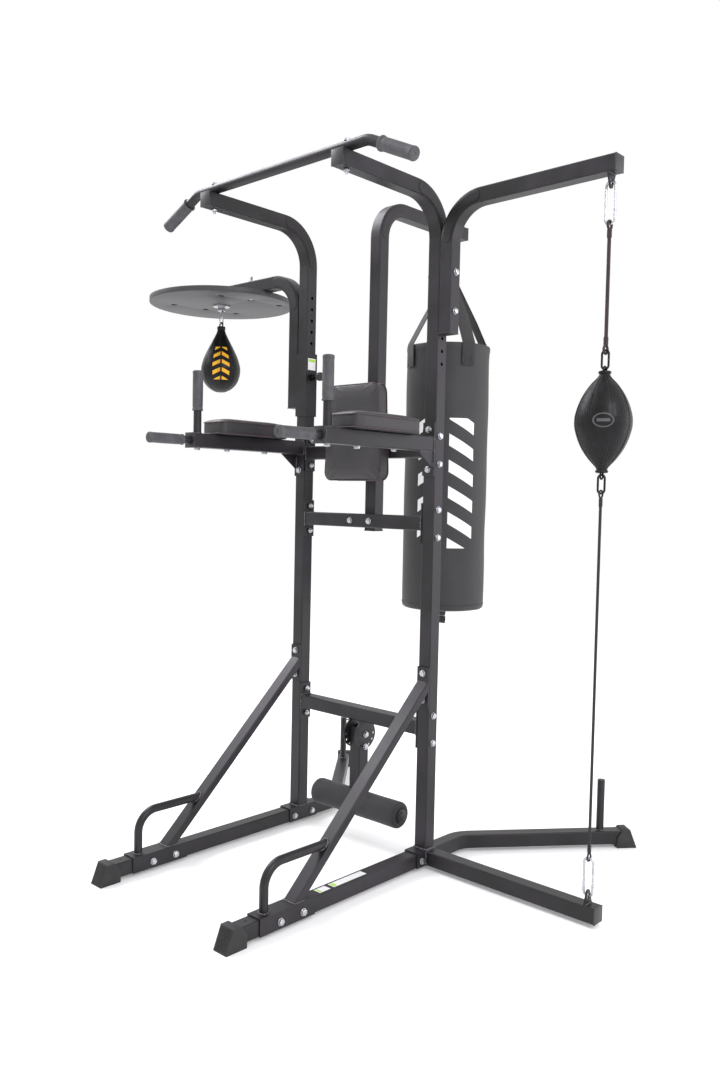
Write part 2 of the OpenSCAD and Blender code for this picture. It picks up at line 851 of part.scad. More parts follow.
module swivel_ball() {
    color(zinc) place() translate([-board_x, 0, ball_z]) {
        difference() {
            sphere(r = ball_r, $fn = 64);
            translate([0, 0, -2 * ball_r + 4.5]) cube([30, 6.4, 4 * ball_r], center = true);
        }
    }
}

module pop_pin_barrel() {
    color(rubber) place() translate([-side_x + sleeve_w / 2, 0, pin_z]) rotate([0, 90, 0]) difference() {
        union() {
            cylinder(h = 18, r = 11);
            cylinder(h = 5, r = 14, $fn = 6);
        }
        translate([0, 0, -1]) cylinder(h = 30, r = pin_r + 0.3);
    }
}

// The knob is parked in its pulled position, so the pin's tip is inside the sleeve's wall
pin_out = 12;

module pop_pin_knob() {
    color(rubber) place() translate([-side_x + sleeve_w / 2, 0, pin_z]) rotate([0, 90, 0]) {
        translate([0, 0, -sleeve_wall]) cylinder(h = 18 + pin_out + sleeve_wall, r = pin_r);
        translate([0, 0, 18 + pin_out]) {
            cylinder(h = 6, r = 12);
            translate([0, 0, 6]) cylinder(h = 12, r = 15);
        }
    }
}

// ---------------------------------------------------------------- bags

gate_half = 24;

// Oval link in the XZ plane, w wide and h high outside, with round wire of radius r.
// A link with a gate is open along the middle of its +X side.
module link(w, h, r, gated = false) {
    bend = w / 2 - r;
    straight = h - w;
    for (turn = [0, 180])
        rotate([0, turn, 0]) translate([0, 0, straight / 2]) rotate([90, 0, 0])
            rotate_extrude(angle = 180) translate([bend, 0]) circle(r = r, $fn = 24);
    translate([-bend, 0, -straight / 2]) cylinder(h = straight, r = r, $fn = 24);
    if (gated) {
        for (turn = [0, 180]) rotate([turn, 0, 0])
            translate([bend, 0, gate_half]) cylinder(h = straight / 2 - gate_half, r = r, $fn = 24);
    } else {
        translate([bend, 0, -straight / 2]) cylinder(h = straight, r = r, $fn = 24);
    }
}

// The bar that closes a gated link; its rounded lower end lets it swing inwards
module gate(w, r) {
    gate_r = 0.85 * r;
    pivot = -gate_half + 0.5 + gate_r;
    translate([w / 2 - r, 0, pivot]) rotate_extrude() intersection() {
        union() {
            circle(r = gate_r, $fn = 24);
            square([gate_r, gate_half - 0.5 - pivot]);
        }
        translate([0, -gate_r]) square([gate_r, 3 * gate_half]);
    }
}

speed_top = 1797;

module speed_bag_hook() {
    color(zinc) place() translate([-board_x, 0, ball_z]) {
        translate([0, 0, -24]) cylinder(h = 22, r = 2.9);
        translate([0, 0, -24 - 14]) rotate([0, 0, 90]) link(20, 32, 2.5);
    }
}

module speed_bag() {
    color([0.05, 0.05, 0.05]) place() translate([-board_x, 0, 0]) {
        translate([0, 0, speed_top + 8]) rotate([90, 0, 0]) rotate_extrude() translate([9, 0]) circle(r = 2.5);
        rotate_extrude($fn = 96) polygon([
            [0, speed_top], [13, speed_top], [14, speed_top - 18], [28, speed_top - 46],
            [48, speed_top - 82], [66, speed_top - 118], [74, speed_top - 150],
            [74, speed_top - 172], [66, speed_top - 204], [50, speed_top - 228],
            [28, speed_top - 244], [8, speed_top - 249], [0, speed_top - 249]
        ]);
    }
}

heavy_eye = heavy_top - tube - 23;
heavy_link = 104;
ring_r = 15;
ring_wire = 4;
ring_z = heavy_eye + 4 - heavy_link + 9.5 - ring_r + ring_wire;
strap_top = ring_z - ring_r - ring_wire - 1;

module heavy_bag_carabiner() {
    color(zinc) place() translate([0, bag_y, heavy_eye + 4 - heavy_link / 2]) rotate([0, 0, 90])
        link(44, heavy_link, 4.5, true);
}

module heavy_bag_gate() {
    color(zinc) place() translate([0, bag_y, heavy_eye + 4 - heavy_link / 2]) rotate([0, 0, 90])
        gate(44, 4.5);
}

// Four webbing straps from the ring to the bag's rim, and their sewn ends down its side
strap_w = 50;
strap_neck = 18;
strap_t = 3;
strap_sewn = 78;

module heavy_bag_straps() {
    start = 21;
    rise = strap_top - bag_z[1];
    run = bag_r + 2 - start;
    slope = atan2(rise, run);
    length = norm([rise, run]);
    color([0.1, 0.1, 0.1]) place() translate([0, bag_y, 0]) {
        translate([0, 0, ring_z]) rotate([90, 0, 0]) rotate_extrude()
            translate([ring_r, 0]) circle(r = ring_wire);
        for (a = [-25, 65, 155, 245]) rotate([0, 0, a]) {
            translate([start, 0, strap_top]) rotate([0, slope, 0]) linear_extrude(strap_t) polygon([
                [0, -strap_neck / 2], [70, -strap_w / 2], [length, -strap_w / 2],
                [length, strap_w / 2], [70, strap_w / 2], [0, strap_neck / 2]
            ]);
            translate([bag_r + 0.5, -strap_w / 2, bag_z[1] - strap_sewn])
                cube([strap_t, strap_w, strap_sewn]);
        }
    }
}

module heavy_bag() {
    round_edge = 14;
    color([0.13, 0.13, 0.13]) place() translate([0, bag_y, 0]) {
        rotate_extrude($fn = 128) polygon([
            [0, bag_z[0]], [bag_r - round_edge, bag_z[0]], [bag_r - 4, bag_z[0] + 4],
            [bag_r, bag_z[0] + round_edge], [bag_r, bag_z[1] - 6], [bag_r - 6, bag_z[1]],
            [0, bag_z[1]]
        ]);
        translate([-12, -3, bag_z[0] - 26]) cube([24, 6, 26]);
        translate([-12, -3, bag_z[0] - 59]) cube([24, 6, 22]);
        for (x = [-8, 8]) translate([x, 0, bag_z[0] - 40]) cylinder(h = 16, r = 1.5);
    }
}

// Double-end bag: hooks, cords, clips and the bag between them
cord_r = [5, 4];
top_hook_h = 118;
floor_hook_h = 112;
clip_h = 56;
bag_neck = [1238, 1506];
hook_eye = hook_top + 5;
top_hook_z = hook_eye + 4 - top_hook_h / 2;
cord_top = top_hook_z - top_hook_h / 2 + 7;
upper_clip_z = bag_neck[1] + clip_h / 2 + 4;
lower_clip_z = bag_neck[0] - clip_h / 2 - 4;
floor_hook_z = floor_eye - 19 + floor_hook_h / 2;
cord_low = floor_hook_z + floor_hook_h / 2 - 7;

module top_snap_hook() {
    color(zinc) place() translate([end_x, 0, top_hook_z]) link(34, top_hook_h, 3.5, true);
}

module top_hook_gate() {
    color(zinc) place() translate([end_x, 0, top_hook_z]) gate(34, 3.5);
}

module floor_snap_hook() {
    color(zinc) place() translate([end_x, 0, floor_hook_z]) link(34, floor_hook_h, 3.5, true);
}

module floor_hook_gate() {
    color(zinc) place() translate([end_x, 0, floor_hook_z]) gate(34, 3.5);
}

// A cord with a loop at each end round the hook's and the clip's wire
module bag_cord(low, high, r) {
    loop = 9;
    for (z = [low + loop, high - loop]) translate([0, 0, z]) rotate([0, 90, 0])
        rotate_extrude() translate([loop + r - 3, 0]) circle(r = r - 1, $fn = 24);
    translate([0, 0, low + 2 * loop + r - 3]) cylinder(h = high - low - 4 * loop - 2 * r + 6, r = r);
}

module upper_cord() {
    color([0.16, 0.10, 0.10]) place() translate([end_x, 0, 0])
        bag_cord(upper_clip_z + clip_h / 2 - 10, cord_top + 3, cord_r[0]);
}

module lower_cord() {
    color([0.06, 0.06, 0.06]) place() translate([end_x, 0, 0])
        bag_cord(cord_low - 3, lower_clip_z - clip_h / 2 + 10, cord_r[1]);
}

module upper_clip() {
    color([0.06, 0.06, 0.06]) place() translate([end_x, 0, upper_clip_z]) link(26, clip_h, 3);
}

module lower_clip() {
    color([0.06, 0.06, 0.06]) place() translate([end_x, 0, lower_clip_z]) link(26, clip_h, 3);
}

module double_end_bag() {
    color([0.05, 0.05, 0.05]) place() translate([end_x, 0, 0]) {
        translate([0, 0, bag_neck[1] + 6]) rotate([0, 90, 0])
            rotate_extrude() translate([8, 0]) circle(r = 2.5, $fn = 24);
        translate([0, 0, bag_neck[0] - 7]) rotate([0, 0, 90]) link(18, 28, 2.5);
        rotate_extrude($fn = 96) polygon([
            [0, bag_neck[0]], [11, bag_neck[0]], [16, bag_neck[0] + 14], [46, end_z - 96],
            [66, end_z - 58], [end_r, end_z - 14], [end_r, end_z + 14], [66, end_z + 58],
            [46, end_z + 96], [16, bag_neck[1] - 14], [11, bag_neck[1]], [0, bag_neck[1]]
        ]);
    }
}

left_floor_tube();
right_floor_tube();
side_floor_tube();
left_upright();
right_upright();
left_brace();
right_brace();
left_push_up_handle();
right_push_up_handle();
lower_crossbar();
middle_crossbar();
upper_crossbar();
left_dip_arm();
right_dip_arm();
dip_handle_tubes();
left_dip_grips();
right_dip_grips();
pull_up_bar();
pull_up_grips();
heavy_bag_post();
double_end_arm();
bag_eyelets();
rubber_feet();
tube_plugs();
plate_posts();
frame_bolts();
nuts_and_washers();
left_arm_pad();
right_arm_pad();
back_pad();
index_plates();
roller_hanger();
roller_axle();
roller_end_caps();
left_roller_foam();
right_roller_foam();
platform_sleeve();
liners_and_arm_plugs();
platform_arm();
platform_board();
platform_bolts();
swivel_flange();
pop_pin_barrel();
pop_pin_knob();
swivel_ball();
speed_bag_hook();
speed_bag();
heavy_bag_carabiner();
heavy_bag_gate();
heavy_bag_straps();
heavy_bag();
top_snap_hook();
top_hook_gate();
upper_cord();
upper_clip();
double_end_bag();
lower_clip();
lower_cord();
floor_snap_hook();
floor_hook_gate();
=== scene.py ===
"""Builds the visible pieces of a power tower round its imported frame."""

import json
import math

import bpy
from mathutils import Matrix, Vector


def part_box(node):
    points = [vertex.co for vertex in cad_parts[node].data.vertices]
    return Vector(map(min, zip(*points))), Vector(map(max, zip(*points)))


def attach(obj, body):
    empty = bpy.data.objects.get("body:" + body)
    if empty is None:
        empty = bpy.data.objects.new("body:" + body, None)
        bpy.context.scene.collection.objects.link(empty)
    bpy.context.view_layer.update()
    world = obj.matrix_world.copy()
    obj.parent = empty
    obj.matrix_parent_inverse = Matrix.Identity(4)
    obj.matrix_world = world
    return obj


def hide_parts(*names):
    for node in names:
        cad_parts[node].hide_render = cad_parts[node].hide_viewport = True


bl_info = {
    "name": "Power tower",
    "version": (1, 0, 0),
    "blender": (4, 5, 0),
    "location": "3D View > Sidebar > Power tower",
    "description": "Models the pads, bags, grips, fasteners and finishes of a power tower",
    "category": "Object",
}

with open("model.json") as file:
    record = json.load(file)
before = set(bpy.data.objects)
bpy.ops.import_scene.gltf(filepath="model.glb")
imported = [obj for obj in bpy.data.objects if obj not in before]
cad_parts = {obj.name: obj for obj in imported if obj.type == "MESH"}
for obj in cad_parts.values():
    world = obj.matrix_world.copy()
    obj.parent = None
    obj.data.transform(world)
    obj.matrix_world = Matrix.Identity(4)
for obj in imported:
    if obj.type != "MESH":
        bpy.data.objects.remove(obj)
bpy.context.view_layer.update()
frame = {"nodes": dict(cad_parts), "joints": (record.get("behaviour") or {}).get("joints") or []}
PARTS = frame["nodes"]
JOINTS = {joint["name"]: joint for joint in frame["joints"]}
MM = 0.001


# ------------------------------------------------------------------ places

def box(node):
    """Lowest and highest corner of a CAD node."""
    low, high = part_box(node)
    return Vector(low), Vector(high)


def middle(node):
    low, high = box(node)
    return (low + high) / 2


def pivot(joint):
    return Vector(JOINTS[joint]["pos_m"])


CENTRE = middle("middle_crossbar")


def at(x, y, z):
    """A place in millimetres from the floor point midway between the uprights."""
    return Vector((CENTRE.x + x * MM, CENTRE.y + y * MM, z * MM))


def along(place, direction, spin=0.0):
    """A matrix that stands a shape made about +Z on a place, pointing in a direction."""
    turn = Vector(direction).to_track_quat("Z", "Y").to_matrix().to_4x4()
    return Matrix.Translation(place) @ turn @ Matrix.Rotation(spin, 4, "Z")


# Sizes of the frame that the pieces follow, in millimetres
TUBE = 45
HALF = TUBE / 2
SIDE = 287.5
SIDES = (-1, 1)
SADDLE_TOP = 60.3
ROUND = 12.5
BRACE_ANGLE = math.radians(43.6)
LEG_ANGLE = math.radians(40)
HANDLE_Y = -673
HANDLE_JOINT_Y = -453
HANDLE_Z = 185
BRACE_FACE_Y, BRACE_FACE_TOP = -27.5, 572


def on_leg(length):
    """(x, y) of a point of the right rear leg, measured from the end of its bend."""
    return (SIDE + 100 * (1 - math.cos(LEG_ANGLE)) + length * math.sin(LEG_ANGLE),
            147 + 100 * math.sin(LEG_ANGLE) + length * math.cos(LEG_ANGLE))


# ------------------------------------------------------------------ settings

class TowerSizes(bpy.types.PropertyGroup):
    """Sizes of the pieces that are modelled here."""

    bead: bpy.props.FloatProperty(
        name="Weld bead", description="Radius of a weld bead", default=2.2 * MM, unit="LENGTH")
    piping: bpy.props.FloatProperty(
        name="Piping", description="Radius of the pads' seam piping", default=1.7 * MM, unit="LENGTH")
    pad_swell: bpy.props.FloatProperty(
        name="Pad swell", description="How far the foam may push the vinyl out", default=7 * MM,
        unit="LENGTH")
    pressing: bpy.props.FloatProperty(
        name="Pressing", description="Height of the pressed sides of a tube bend", default=1.1 * MM,
        unit="LENGTH")
    strap: bpy.props.FloatProperty(
        name="Strap", description="Width of the heavy bag's webbing", default=50 * MM, unit="LENGTH")


class TowerColours(bpy.types.PropertyGroup):
    """Colours of the finishes."""

    coat_dark: bpy.props.FloatVectorProperty(
        name="Powder coat, dark", description="Deep tone of the powder coat", subtype="COLOR",
        default=(0.0085, 0.0072, 0.0078))
    coat_light: bpy.props.FloatVectorProperty(
        name="Powder coat, light", description="Light tone of the powder coat", subtype="COLOR",
        default=(0.019, 0.0165, 0.021))
    vinyl: bpy.props.FloatVectorProperty(
        name="Pad vinyl", description="Colour of the pads", subtype="COLOR",
        default=(0.022, 0.020, 0.022))
    vinyl_edge: bpy.props.FloatVectorProperty(
        name="Pad edge", description="Tint of the pads' worn edges", subtype="COLOR",
        default=(0.070, 0.030, 0.038))
    bag: bpy.props.FloatVectorProperty(
        name="Heavy bag", description="Colour of the heavy bag's cloth", subtype="COLOR",
        default=(0.028, 0.028, 0.029))
    gold: bpy.props.FloatVectorProperty(
        name="Speed bag print", description="Colour of the speed bag's print", subtype="COLOR",
        default=(0.80, 0.42, 0.03))


# ------------------------------------------------------------------ materials

class Wire:
    """A value in a material. Arithmetic on it adds Math nodes."""

    def __init__(self, graph, socket):
        self.graph = graph
        self.socket = socket

    def math(self, operation, *values):
        return self.graph.node("ShaderNodeMath", {"operation": operation}, *values)

    def __add__(self, other):
        return self.math("ADD", self, other)

    __radd__ = __add__

    def __sub__(self, other):
        return self.math("SUBTRACT", self, other)

    def __rsub__(self, other):
        return self.math("SUBTRACT", other, self)

    def __mul__(self, other):
        return self.math("MULTIPLY", self, other)

    __rmul__ = __mul__

    def __mod__(self, other):
        return self.math("FLOORED_MODULO", self, other)

    def __lt__(self, other):
        return self.math("LESS_THAN", self, other)

    def __gt__(self, other):
        return self.math("GREATER_THAN", self, other)

    def __abs__(self):
        return self.math("ABSOLUTE", self)

    def sine(self):
        return self.math("SINE", self)


class Graph:
    """A new material with one Principled shader."""

    def __init__(self, name, **constants):
        self.material = bpy.data.materials.new(name)
        self.material.use_nodes = True
        self.tree = self.material.node_tree
        self.shader = self.tree.nodes["Principled BSDF"]
        for socket, value in constants.items():
            self.shader.inputs[socket.replace("_", " ")].default_value = value

    def node(self, kind, settings, *values, out=0, **named):
        """Adds any node: its settings first, then the values or links of its sockets."""
        made = self.tree.nodes.new(kind)
        for name, value in settings.items():
            setattr(made, name, value)
        pairs = list(enumerate(values)) + [(name.replace("_", " "), v) for name, v in named.items()]
        for key, value in pairs:
            if isinstance(value, Wire):
                self.tree.links.new(value.socket, made.inputs[key])
            elif value is not None:
                made.inputs[key].default_value = value
        return Wire(self, made.outputs[out])

    def place(self, turn=(0, 0, 0), stretch=(1, 1, 1), shift=(0, 0, 0)):
        """Object coordinates, moved, turned and stretched."""
        coordinates = self.node("ShaderNodeTexCoord", {}, out="Object")
        return self.node("ShaderNodeMapping", {"vector_type": "POINT"}, coordinates, tuple(shift),
                         tuple(turn), tuple(stretch))

    def axes(self, vector):
        split = self.node("ShaderNodeSeparateXYZ", {}, vector)
        outputs = split.socket.node.outputs
        return [Wire(self, outputs[name]) for name in ("X", "Y", "Z")]

    def noise(self, vector, scale, detail=3.0, roughness=0.5):
        return self.node("ShaderNodeTexNoise", {}, Vector=vector, Scale=scale, Detail=detail,
                         Roughness=roughness)

    def smooth(self, value, low, high):
        """0 below low, 1 above high."""
        return self.node("ShaderNodeMapRange", {"interpolation_type": "SMOOTHSTEP"}, value, low, high,
                         0.0, 1.0)

    def mix(self, factor, first, second):
        """Blends two colours; the sockets in between belong to the node's other data types."""
        values = [factor, None, None, None, None, None, shade(first), shade(second)]
        return self.node("ShaderNodeMix", {"data_type": "RGBA"}, *values, out=2)

    def set(self, **sockets):
        for name, value in sockets.items():
            self.tree.links.new(value.socket, self.shader.inputs[name.replace("_", " ")])
        return self

    def bump(self, height, distance, strength=1.0):
        normal = self.node("ShaderNodeBump", {}, Strength=strength, Distance=distance, Height=height)
        return self.set(Normal=normal)


def shade(colour):
    """A colour with its alpha, or a wire as it is."""
    return colour if isinstance(colour, Wire) else (*tuple(colour)[:3], 1.0)


def powder_coat(colours):
    graph = Graph("powder_coat", Specular_IOR_Level=0.34, Coat_Weight=0.04, Coat_Roughness=0.25)
    place = graph.place()
    cloud = graph.noise(place, 7.0, 4.0)
    peel = graph.noise(place, 620.0, 2.0)
    specks = graph.smooth(graph.noise(place, 170.0, 5.0, 0.7), 0.66, 0.72)
    tone = graph.smooth(cloud, 0.35, 0.70)
    coat = graph.mix(tone, colours.coat_dark, colours.coat_light)
    dusty = graph.mix(specks * 0.35, coat, (0.050, 0.048, 0.054))
    graph.set(Base_Color=dusty, Roughness=0.33 + 0.10 * tone + 0.10 * peel + 0.08 * specks)
    return graph.bump(peel + 0.3 * cloud, 0.25 * MM, 0.55).material


def weld_metal():
    graph = Graph("painted_weld", Metallic=0.35, Coat_Weight=0.25)
    place = graph.place()
    heat = graph.noise(place, 240.0, 4.0)
    tone = graph.mix(graph.smooth(heat, 0.4, 0.65), (0.025, 0.024, 0.026), (0.16, 0.155, 0.165))
    graph.set(Base_Color=tone, Roughness=0.30 + 0.25 * heat)
    return graph.bump(heat, 0.6 * MM).material


def zinc_plate():
    graph = Graph("zinc_plate", Metallic=1.0)
    place = graph.place()
    spangle = graph.node("ShaderNodeTexVoronoi", {}, Vector=place, Scale=260.0, out="Color")
    grain = graph.noise(place, 900.0, 2.0)
    tone = graph.axes(spangle)[0]
    graph.set(Base_Color=graph.mix(tone, (0.36, 0.37, 0.39), (0.58, 0.59, 0.61)),
              Roughness=0.20 + 0.12 * tone + 0.10 * grain)
    return graph.bump(grain, 0.08 * MM, 0.5).material


def black_plate():
    graph = Graph("black_plate", Metallic=0.6)
    place = graph.place()
    rub = graph.smooth(graph.noise(place, 130.0, 4.0), 0.55, 0.75)
    graph.set(Base_Color=graph.mix(rub, (0.012, 0.012, 0.013), (0.06, 0.06, 0.065)),
              Roughness=0.28 + 0.2 * rub)
    return graph.bump(rub, 0.1 * MM, 0.4).material


def textured(name, low, high, scale, roughness, depth):
    """A moulded rubber or plastic with a pebbled skin."""
    graph = Graph(name)
    place = graph.place()
    pebbles = graph.node("ShaderNodeTexVoronoi", {"feature": "SMOOTH_F1"}, Vector=place, Scale=scale)
    cloud = graph.noise(place, 22.0, 4.0)
    graph.set(Base_Color=graph.mix(graph.smooth(cloud, 0.3, 0.75), low, high),
              Roughness=roughness + 0.12 * cloud - 0.08 * pebbles)
    return graph.bump(pebbles + 0.4 * graph.noise(place, scale * 2.2, 2.0), depth, 0.8).material


def grip_rubber():
    graph = Graph("grip_rubber")
    place = graph.place()
    weave = graph.noise(place, 1100.0, 2.0)
    cloud = graph.noise(place, 35.0, 4.0)
    tone = graph.mix(graph.smooth(cloud, 0.3, 0.7), (0.040, 0.041, 0.045), (0.066, 0.067, 0.072))
    graph.set(Base_Color=tone, Roughness=0.46 + 0.14 * cloud + 0.06 * weave)
    return graph.bump(weave, 0.35 * MM, 0.8).material


def pad_vinyl(colours):
    graph = Graph("pad_vinyl", Coat_Weight=0.06, Coat_Roughness=0.35)
    place = graph.place()
    grain = graph.node("ShaderNodeTexVoronoi", {"feature": "DISTANCE_TO_EDGE"}, Vector=place, Scale=520.0)
    creases = graph.noise(place, 60.0, 6.0, 0.6)
    cloud = graph.noise(place, 10.0, 3.0)
    worn = graph.smooth(cloud, 0.42, 0.72)
    pores = graph.smooth(grain, 0.0, 0.12)
    base = graph.mix(worn, colours.vinyl, (0.040, 0.032, 0.036))
    graph.set(Base_Color=graph.mix(pores, (0.010, 0.009, 0.010), base),
              Roughness=0.40 + 0.16 * worn - 0.06 * pores)
    return graph.bump(pores + 0.8 * creases, 0.30 * MM, 0.7).material


def edge_vinyl(colours):
    graph = Graph("pad_piping", Coat_Weight=0.1)
    place = graph.place()
    rub = graph.noise(place, 80.0, 4.0)
    graph.set(Base_Color=graph.mix(graph.smooth(rub, 0.35, 0.7), colours.vinyl, colours.vinyl_edge),
              Roughness=0.36 + 0.16 * rub)
    return graph.bump(rub, 0.2 * MM, 0.6).material


def foam_skin():
    graph = Graph("foam_skin", Sheen_Weight=0.08)
    place = graph.place()
    pores = graph.node("ShaderNodeTexVoronoi", {}, Vector=place, Scale=430.0)
    cloud = graph.noise(place, 24.0, 4.0)
    graph.set(Base_Color=graph.mix(cloud, (0.013, 0.013, 0.014), (0.026, 0.026, 0.028)),
              Roughness=0.80 - 0.12 * cloud)
    return graph.bump(pores + cloud, 0.5 * MM, 0.7).material


def board_paint():
    graph = Graph("board_paint")
    place = graph.place()
    grit = graph.noise(place, 520.0, 3.0)
    cloud = graph.noise(place, 9.0, 5.0)
    stretched = graph.place(stretch=(1, 14, 1))
    scratch = graph.smooth(graph.noise(stretched, 26.0, 6.0, 0.7), 0.62, 0.72)
    tone = graph.mix(graph.smooth(cloud, 0.3, 0.7), (0.030, 0.029, 0.031), (0.055, 0.053, 0.056))
    graph.set(Base_Color=graph.mix(scratch * 0.4, tone, (0.13, 0.13, 0.135)),
              Roughness=0.42 + 0.12 * cloud + 0.08 * scratch)
    return graph.bump(grit, 0.25 * MM, 0.6).material


def glossy_leather(name, prints=None):
    """Black leather with a fine grain; prints(graph) gives a mask and a colour."""
    graph = Graph(name, Specular_IOR_Level=0.18, Coat_Weight=0.06, Coat_Roughness=0.10)
    place = graph.place()
    grain = graph.node("ShaderNodeTexVoronoi", {"feature": "DISTANCE_TO_EDGE"}, Vector=place, Scale=620.0)
    cloud = graph.noise(place, 28.0, 4.0)
    pores = graph.smooth(grain, 0.0, 0.14)
    colour = graph.mix(graph.smooth(cloud, 0.3, 0.7), (0.004, 0.004, 0.0045), (0.009, 0.009, 0.0095))
    rough = 0.26 + 0.14 * cloud
    if prints:
        mask, ink = prints(graph)
        colour = graph.mix(mask, colour, ink)
        rough = rough + 0.08 * mask
    graph.set(Base_Color=colour, Roughness=rough)
    return graph.bump(pores + 0.6 * cloud, 0.18 * MM, 0.55).material


def around(graph, axis, radius, facing):
    """Width round an upright axis, measured from a facing angle, and height, in metres."""
    shifted = graph.place(shift=(-axis.x, -axis.y, 0))
    turned_round = graph.node("ShaderNodeMapping", {"vector_type": "POINT"}, shifted, (0, 0, 0),
                              (0, 0, -facing), (1, 1, 1))
    x, y, z = graph.axes(turned_round)
    angle = y.math("ARCTAN2", y, x)
    return angle * radius, z


def chevrons(graph, across, up, low, high, half_width, count):
    """A column of bold chevrons between two heights."""
    pitch = (high - low) / count
    slope = half_width * 0.55
    wave = (up - low + abs(across) * (slope / half_width)) % pitch
    stripe = graph.smooth(wave, 0.0, 0.0008) * (1 - graph.smooth(wave, pitch * 0.46, pitch * 0.46 + 0.0008))
    inside = (abs(across) < half_width) * (up > low) * (up < high)
    gap = abs(across) > half_width * 0.10
    return stripe * inside * gap


def heavy_bag_cloth(colours, axis, radius, low, high):
    graph = Graph("heavy_bag_cloth", Specular_IOR_Level=0.35)
    place = graph.place()
    across, up = around(graph, axis, radius, math.radians(-52.4))
    column = chevrons(graph, across, up, low, high, 105 * MM, 5)
    weave_a = (across * 3000.0).sine()
    weave_b = (up * 3000.0).sine()
    cloud = graph.noise(place, 7.0, 5.0)
    wear = graph.noise(place, 90.0, 4.0)
    cloth = graph.mix(graph.smooth(cloud, 0.3, 0.7), colours.bag, (0.036, 0.036, 0.037))
    ink = graph.mix(graph.smooth(wear, 0.66, 0.74) * 0.5, (0.86, 0.86, 0.85), (0.40, 0.40, 0.40))
    graph.set(Base_Color=graph.mix(column, cloth, ink),
              Roughness=0.46 + 0.14 * cloud - 0.08 * column)
    return graph.bump(weave_a * weave_b * 0.25 + cloud, 0.9 * MM, 0.35).material


def webbing_weave():
    graph = Graph("webbing_weave", Sheen_Weight=0.15)
    place = graph.place()
    x, y, z = graph.axes(place)
    ribs = (z * 2600.0).sine()
    cross = ((x + y) * 2100.0).sine()
    cloud = graph.noise(place, 60.0, 3.0)
    graph.set(Base_Color=graph.mix(cloud, (0.012, 0.012, 0.012), (0.028, 0.028, 0.029)),
              Roughness=0.72 + 0.12 * cloud)
    return graph.bump(ribs * cross, 0.5 * MM, 0.7).material


def cord_sleeve(name, low, high, axis):
    """Braided sleeve: two crossed helices round the cord's own axis."""
    graph = Graph(name)
    across, up = around(graph, axis, 1.0, 0.0)
    right = (across * 8.0 + up * 1500.0).sine()
    left = (across * 8.0 - up * 1500.0).sine()
    braid = right * left
    cloud = graph.noise(graph.place(), 40.0, 4.0)
    graph.set(Base_Color=graph.mix(graph.smooth(braid + cloud, 0.1, 1.1), low, high),
              Roughness=0.62 + 0.15 * cloud)
    return graph.bump(braid, 0.5 * MM, 0.8).material


def label_paper(colour, name):
    graph = Graph(name, Coat_Weight=0.3)
    place = graph.place()
    stain = graph.noise(place, 70.0, 4.0)
    darker = tuple(0.82 * value for value in colour)
    graph.set(Base_Color=graph.mix(graph.smooth(stain, 0.45, 0.8), colour, darker),
              Roughness=0.32 + 0.15 * stain)
    return graph.bump(stain, 0.05 * MM, 0.3).material


def thread():
    graph = Graph("sewing_thread")
    twist = graph.noise(graph.place(), 1500.0, 2.0)
    graph.set(Base_Color=graph.mix(twist, (0.02, 0.02, 0.021), (0.055, 0.055, 0.058)),
              Roughness=0.6 + 0.2 * twist)
    return graph.bump(twist, 0.2 * MM).material


FINISHES = {}


def finish_named(name):
    """A finish by name, made the first time that it is asked for."""
    if name not in FINISHES:
        colours = bpy.context.scene.tower_colours
        bag_low, bag_high = box("heavy_bag")
        heavy_axis = middle("heavy_bag")
        speed_axis = middle("speed_bag")
        end_axis = middle("double_end_bag")
        heavy_r = (bag_high.x - bag_low.x) / 2
        makers = {
            "powder_coat": lambda: powder_coat(colours),
            "weld": weld_metal,
            "zinc": zinc_plate,
            "black_steel": black_plate,
            "grip_rubber": grip_rubber,
            "foot_rubber": lambda: textured(
                "foot_rubber", (0.010,) * 3, (0.022,) * 3, 700.0, 0.62, 0.25 * MM),
            "black_plastic": lambda: textured(
                "black_plastic", (0.014, 0.013, 0.014), (0.028, 0.027, 0.029), 900.0, 0.42, 0.15 * MM),
            "pad_vinyl": lambda: pad_vinyl(colours),
            "pad_piping": lambda: edge_vinyl(colours),
            "roller_foam": foam_skin,
            "board_paint": board_paint,
            "heavy_bag_vinyl": lambda: heavy_bag_cloth(colours, heavy_axis, heavy_r, 0.985, 1.44),
            "webbing": webbing_weave,
            "upper_sleeve": lambda: cord_sleeve(
                "upper_sleeve", (0.012, 0.006, 0.006), (0.050, 0.028, 0.028), end_axis),
            "lower_sleeve": lambda: cord_sleeve(
                "lower_sleeve", (0.006, 0.006, 0.006), (0.022, 0.022, 0.023), end_axis),
            "speed_leather": lambda: glossy_leather(
                "speed_leather", lambda graph: speed_print(graph, speed_axis, colours)),
            "end_leather": lambda: glossy_leather("end_leather", lambda graph: end_print(graph, end_axis)),
            "plain_leather": lambda: glossy_leather("plain_leather"),
            "label_white": lambda: label_paper((0.72, 0.72, 0.71), "label_white"),
            "label_green": lambda: label_paper((0.35, 0.62, 0.05), "label_green"),
            "thread": thread,
        }
        FINISHES[name] = makers[name]()
    return FINISHES[name]


def speed_print(graph, axis, colours):
    across, up = around(graph, axis, 60 * MM, math.radians(-38))
    return chevrons(graph, across, up, 1.590, 1.715, 27 * MM, 4), tuple(colours.gold)


def end_print(graph, axis):
    """A pale ring with a bar through it."""
    across, up = around(graph, axis, 75 * MM, math.radians(-61.6))
    high = up - 1.372
    squares = across * across + high * high * 2.2
    reach = squares.math("SQRT", squares)
    ring = abs(reach - 0.026) < 0.0022
    bar = (abs(high) < 0.004) * (abs(across) < 0.017)
    return ring + bar, (0.085, 0.085, 0.088)


# ------------------------------------------------------------------ modelling

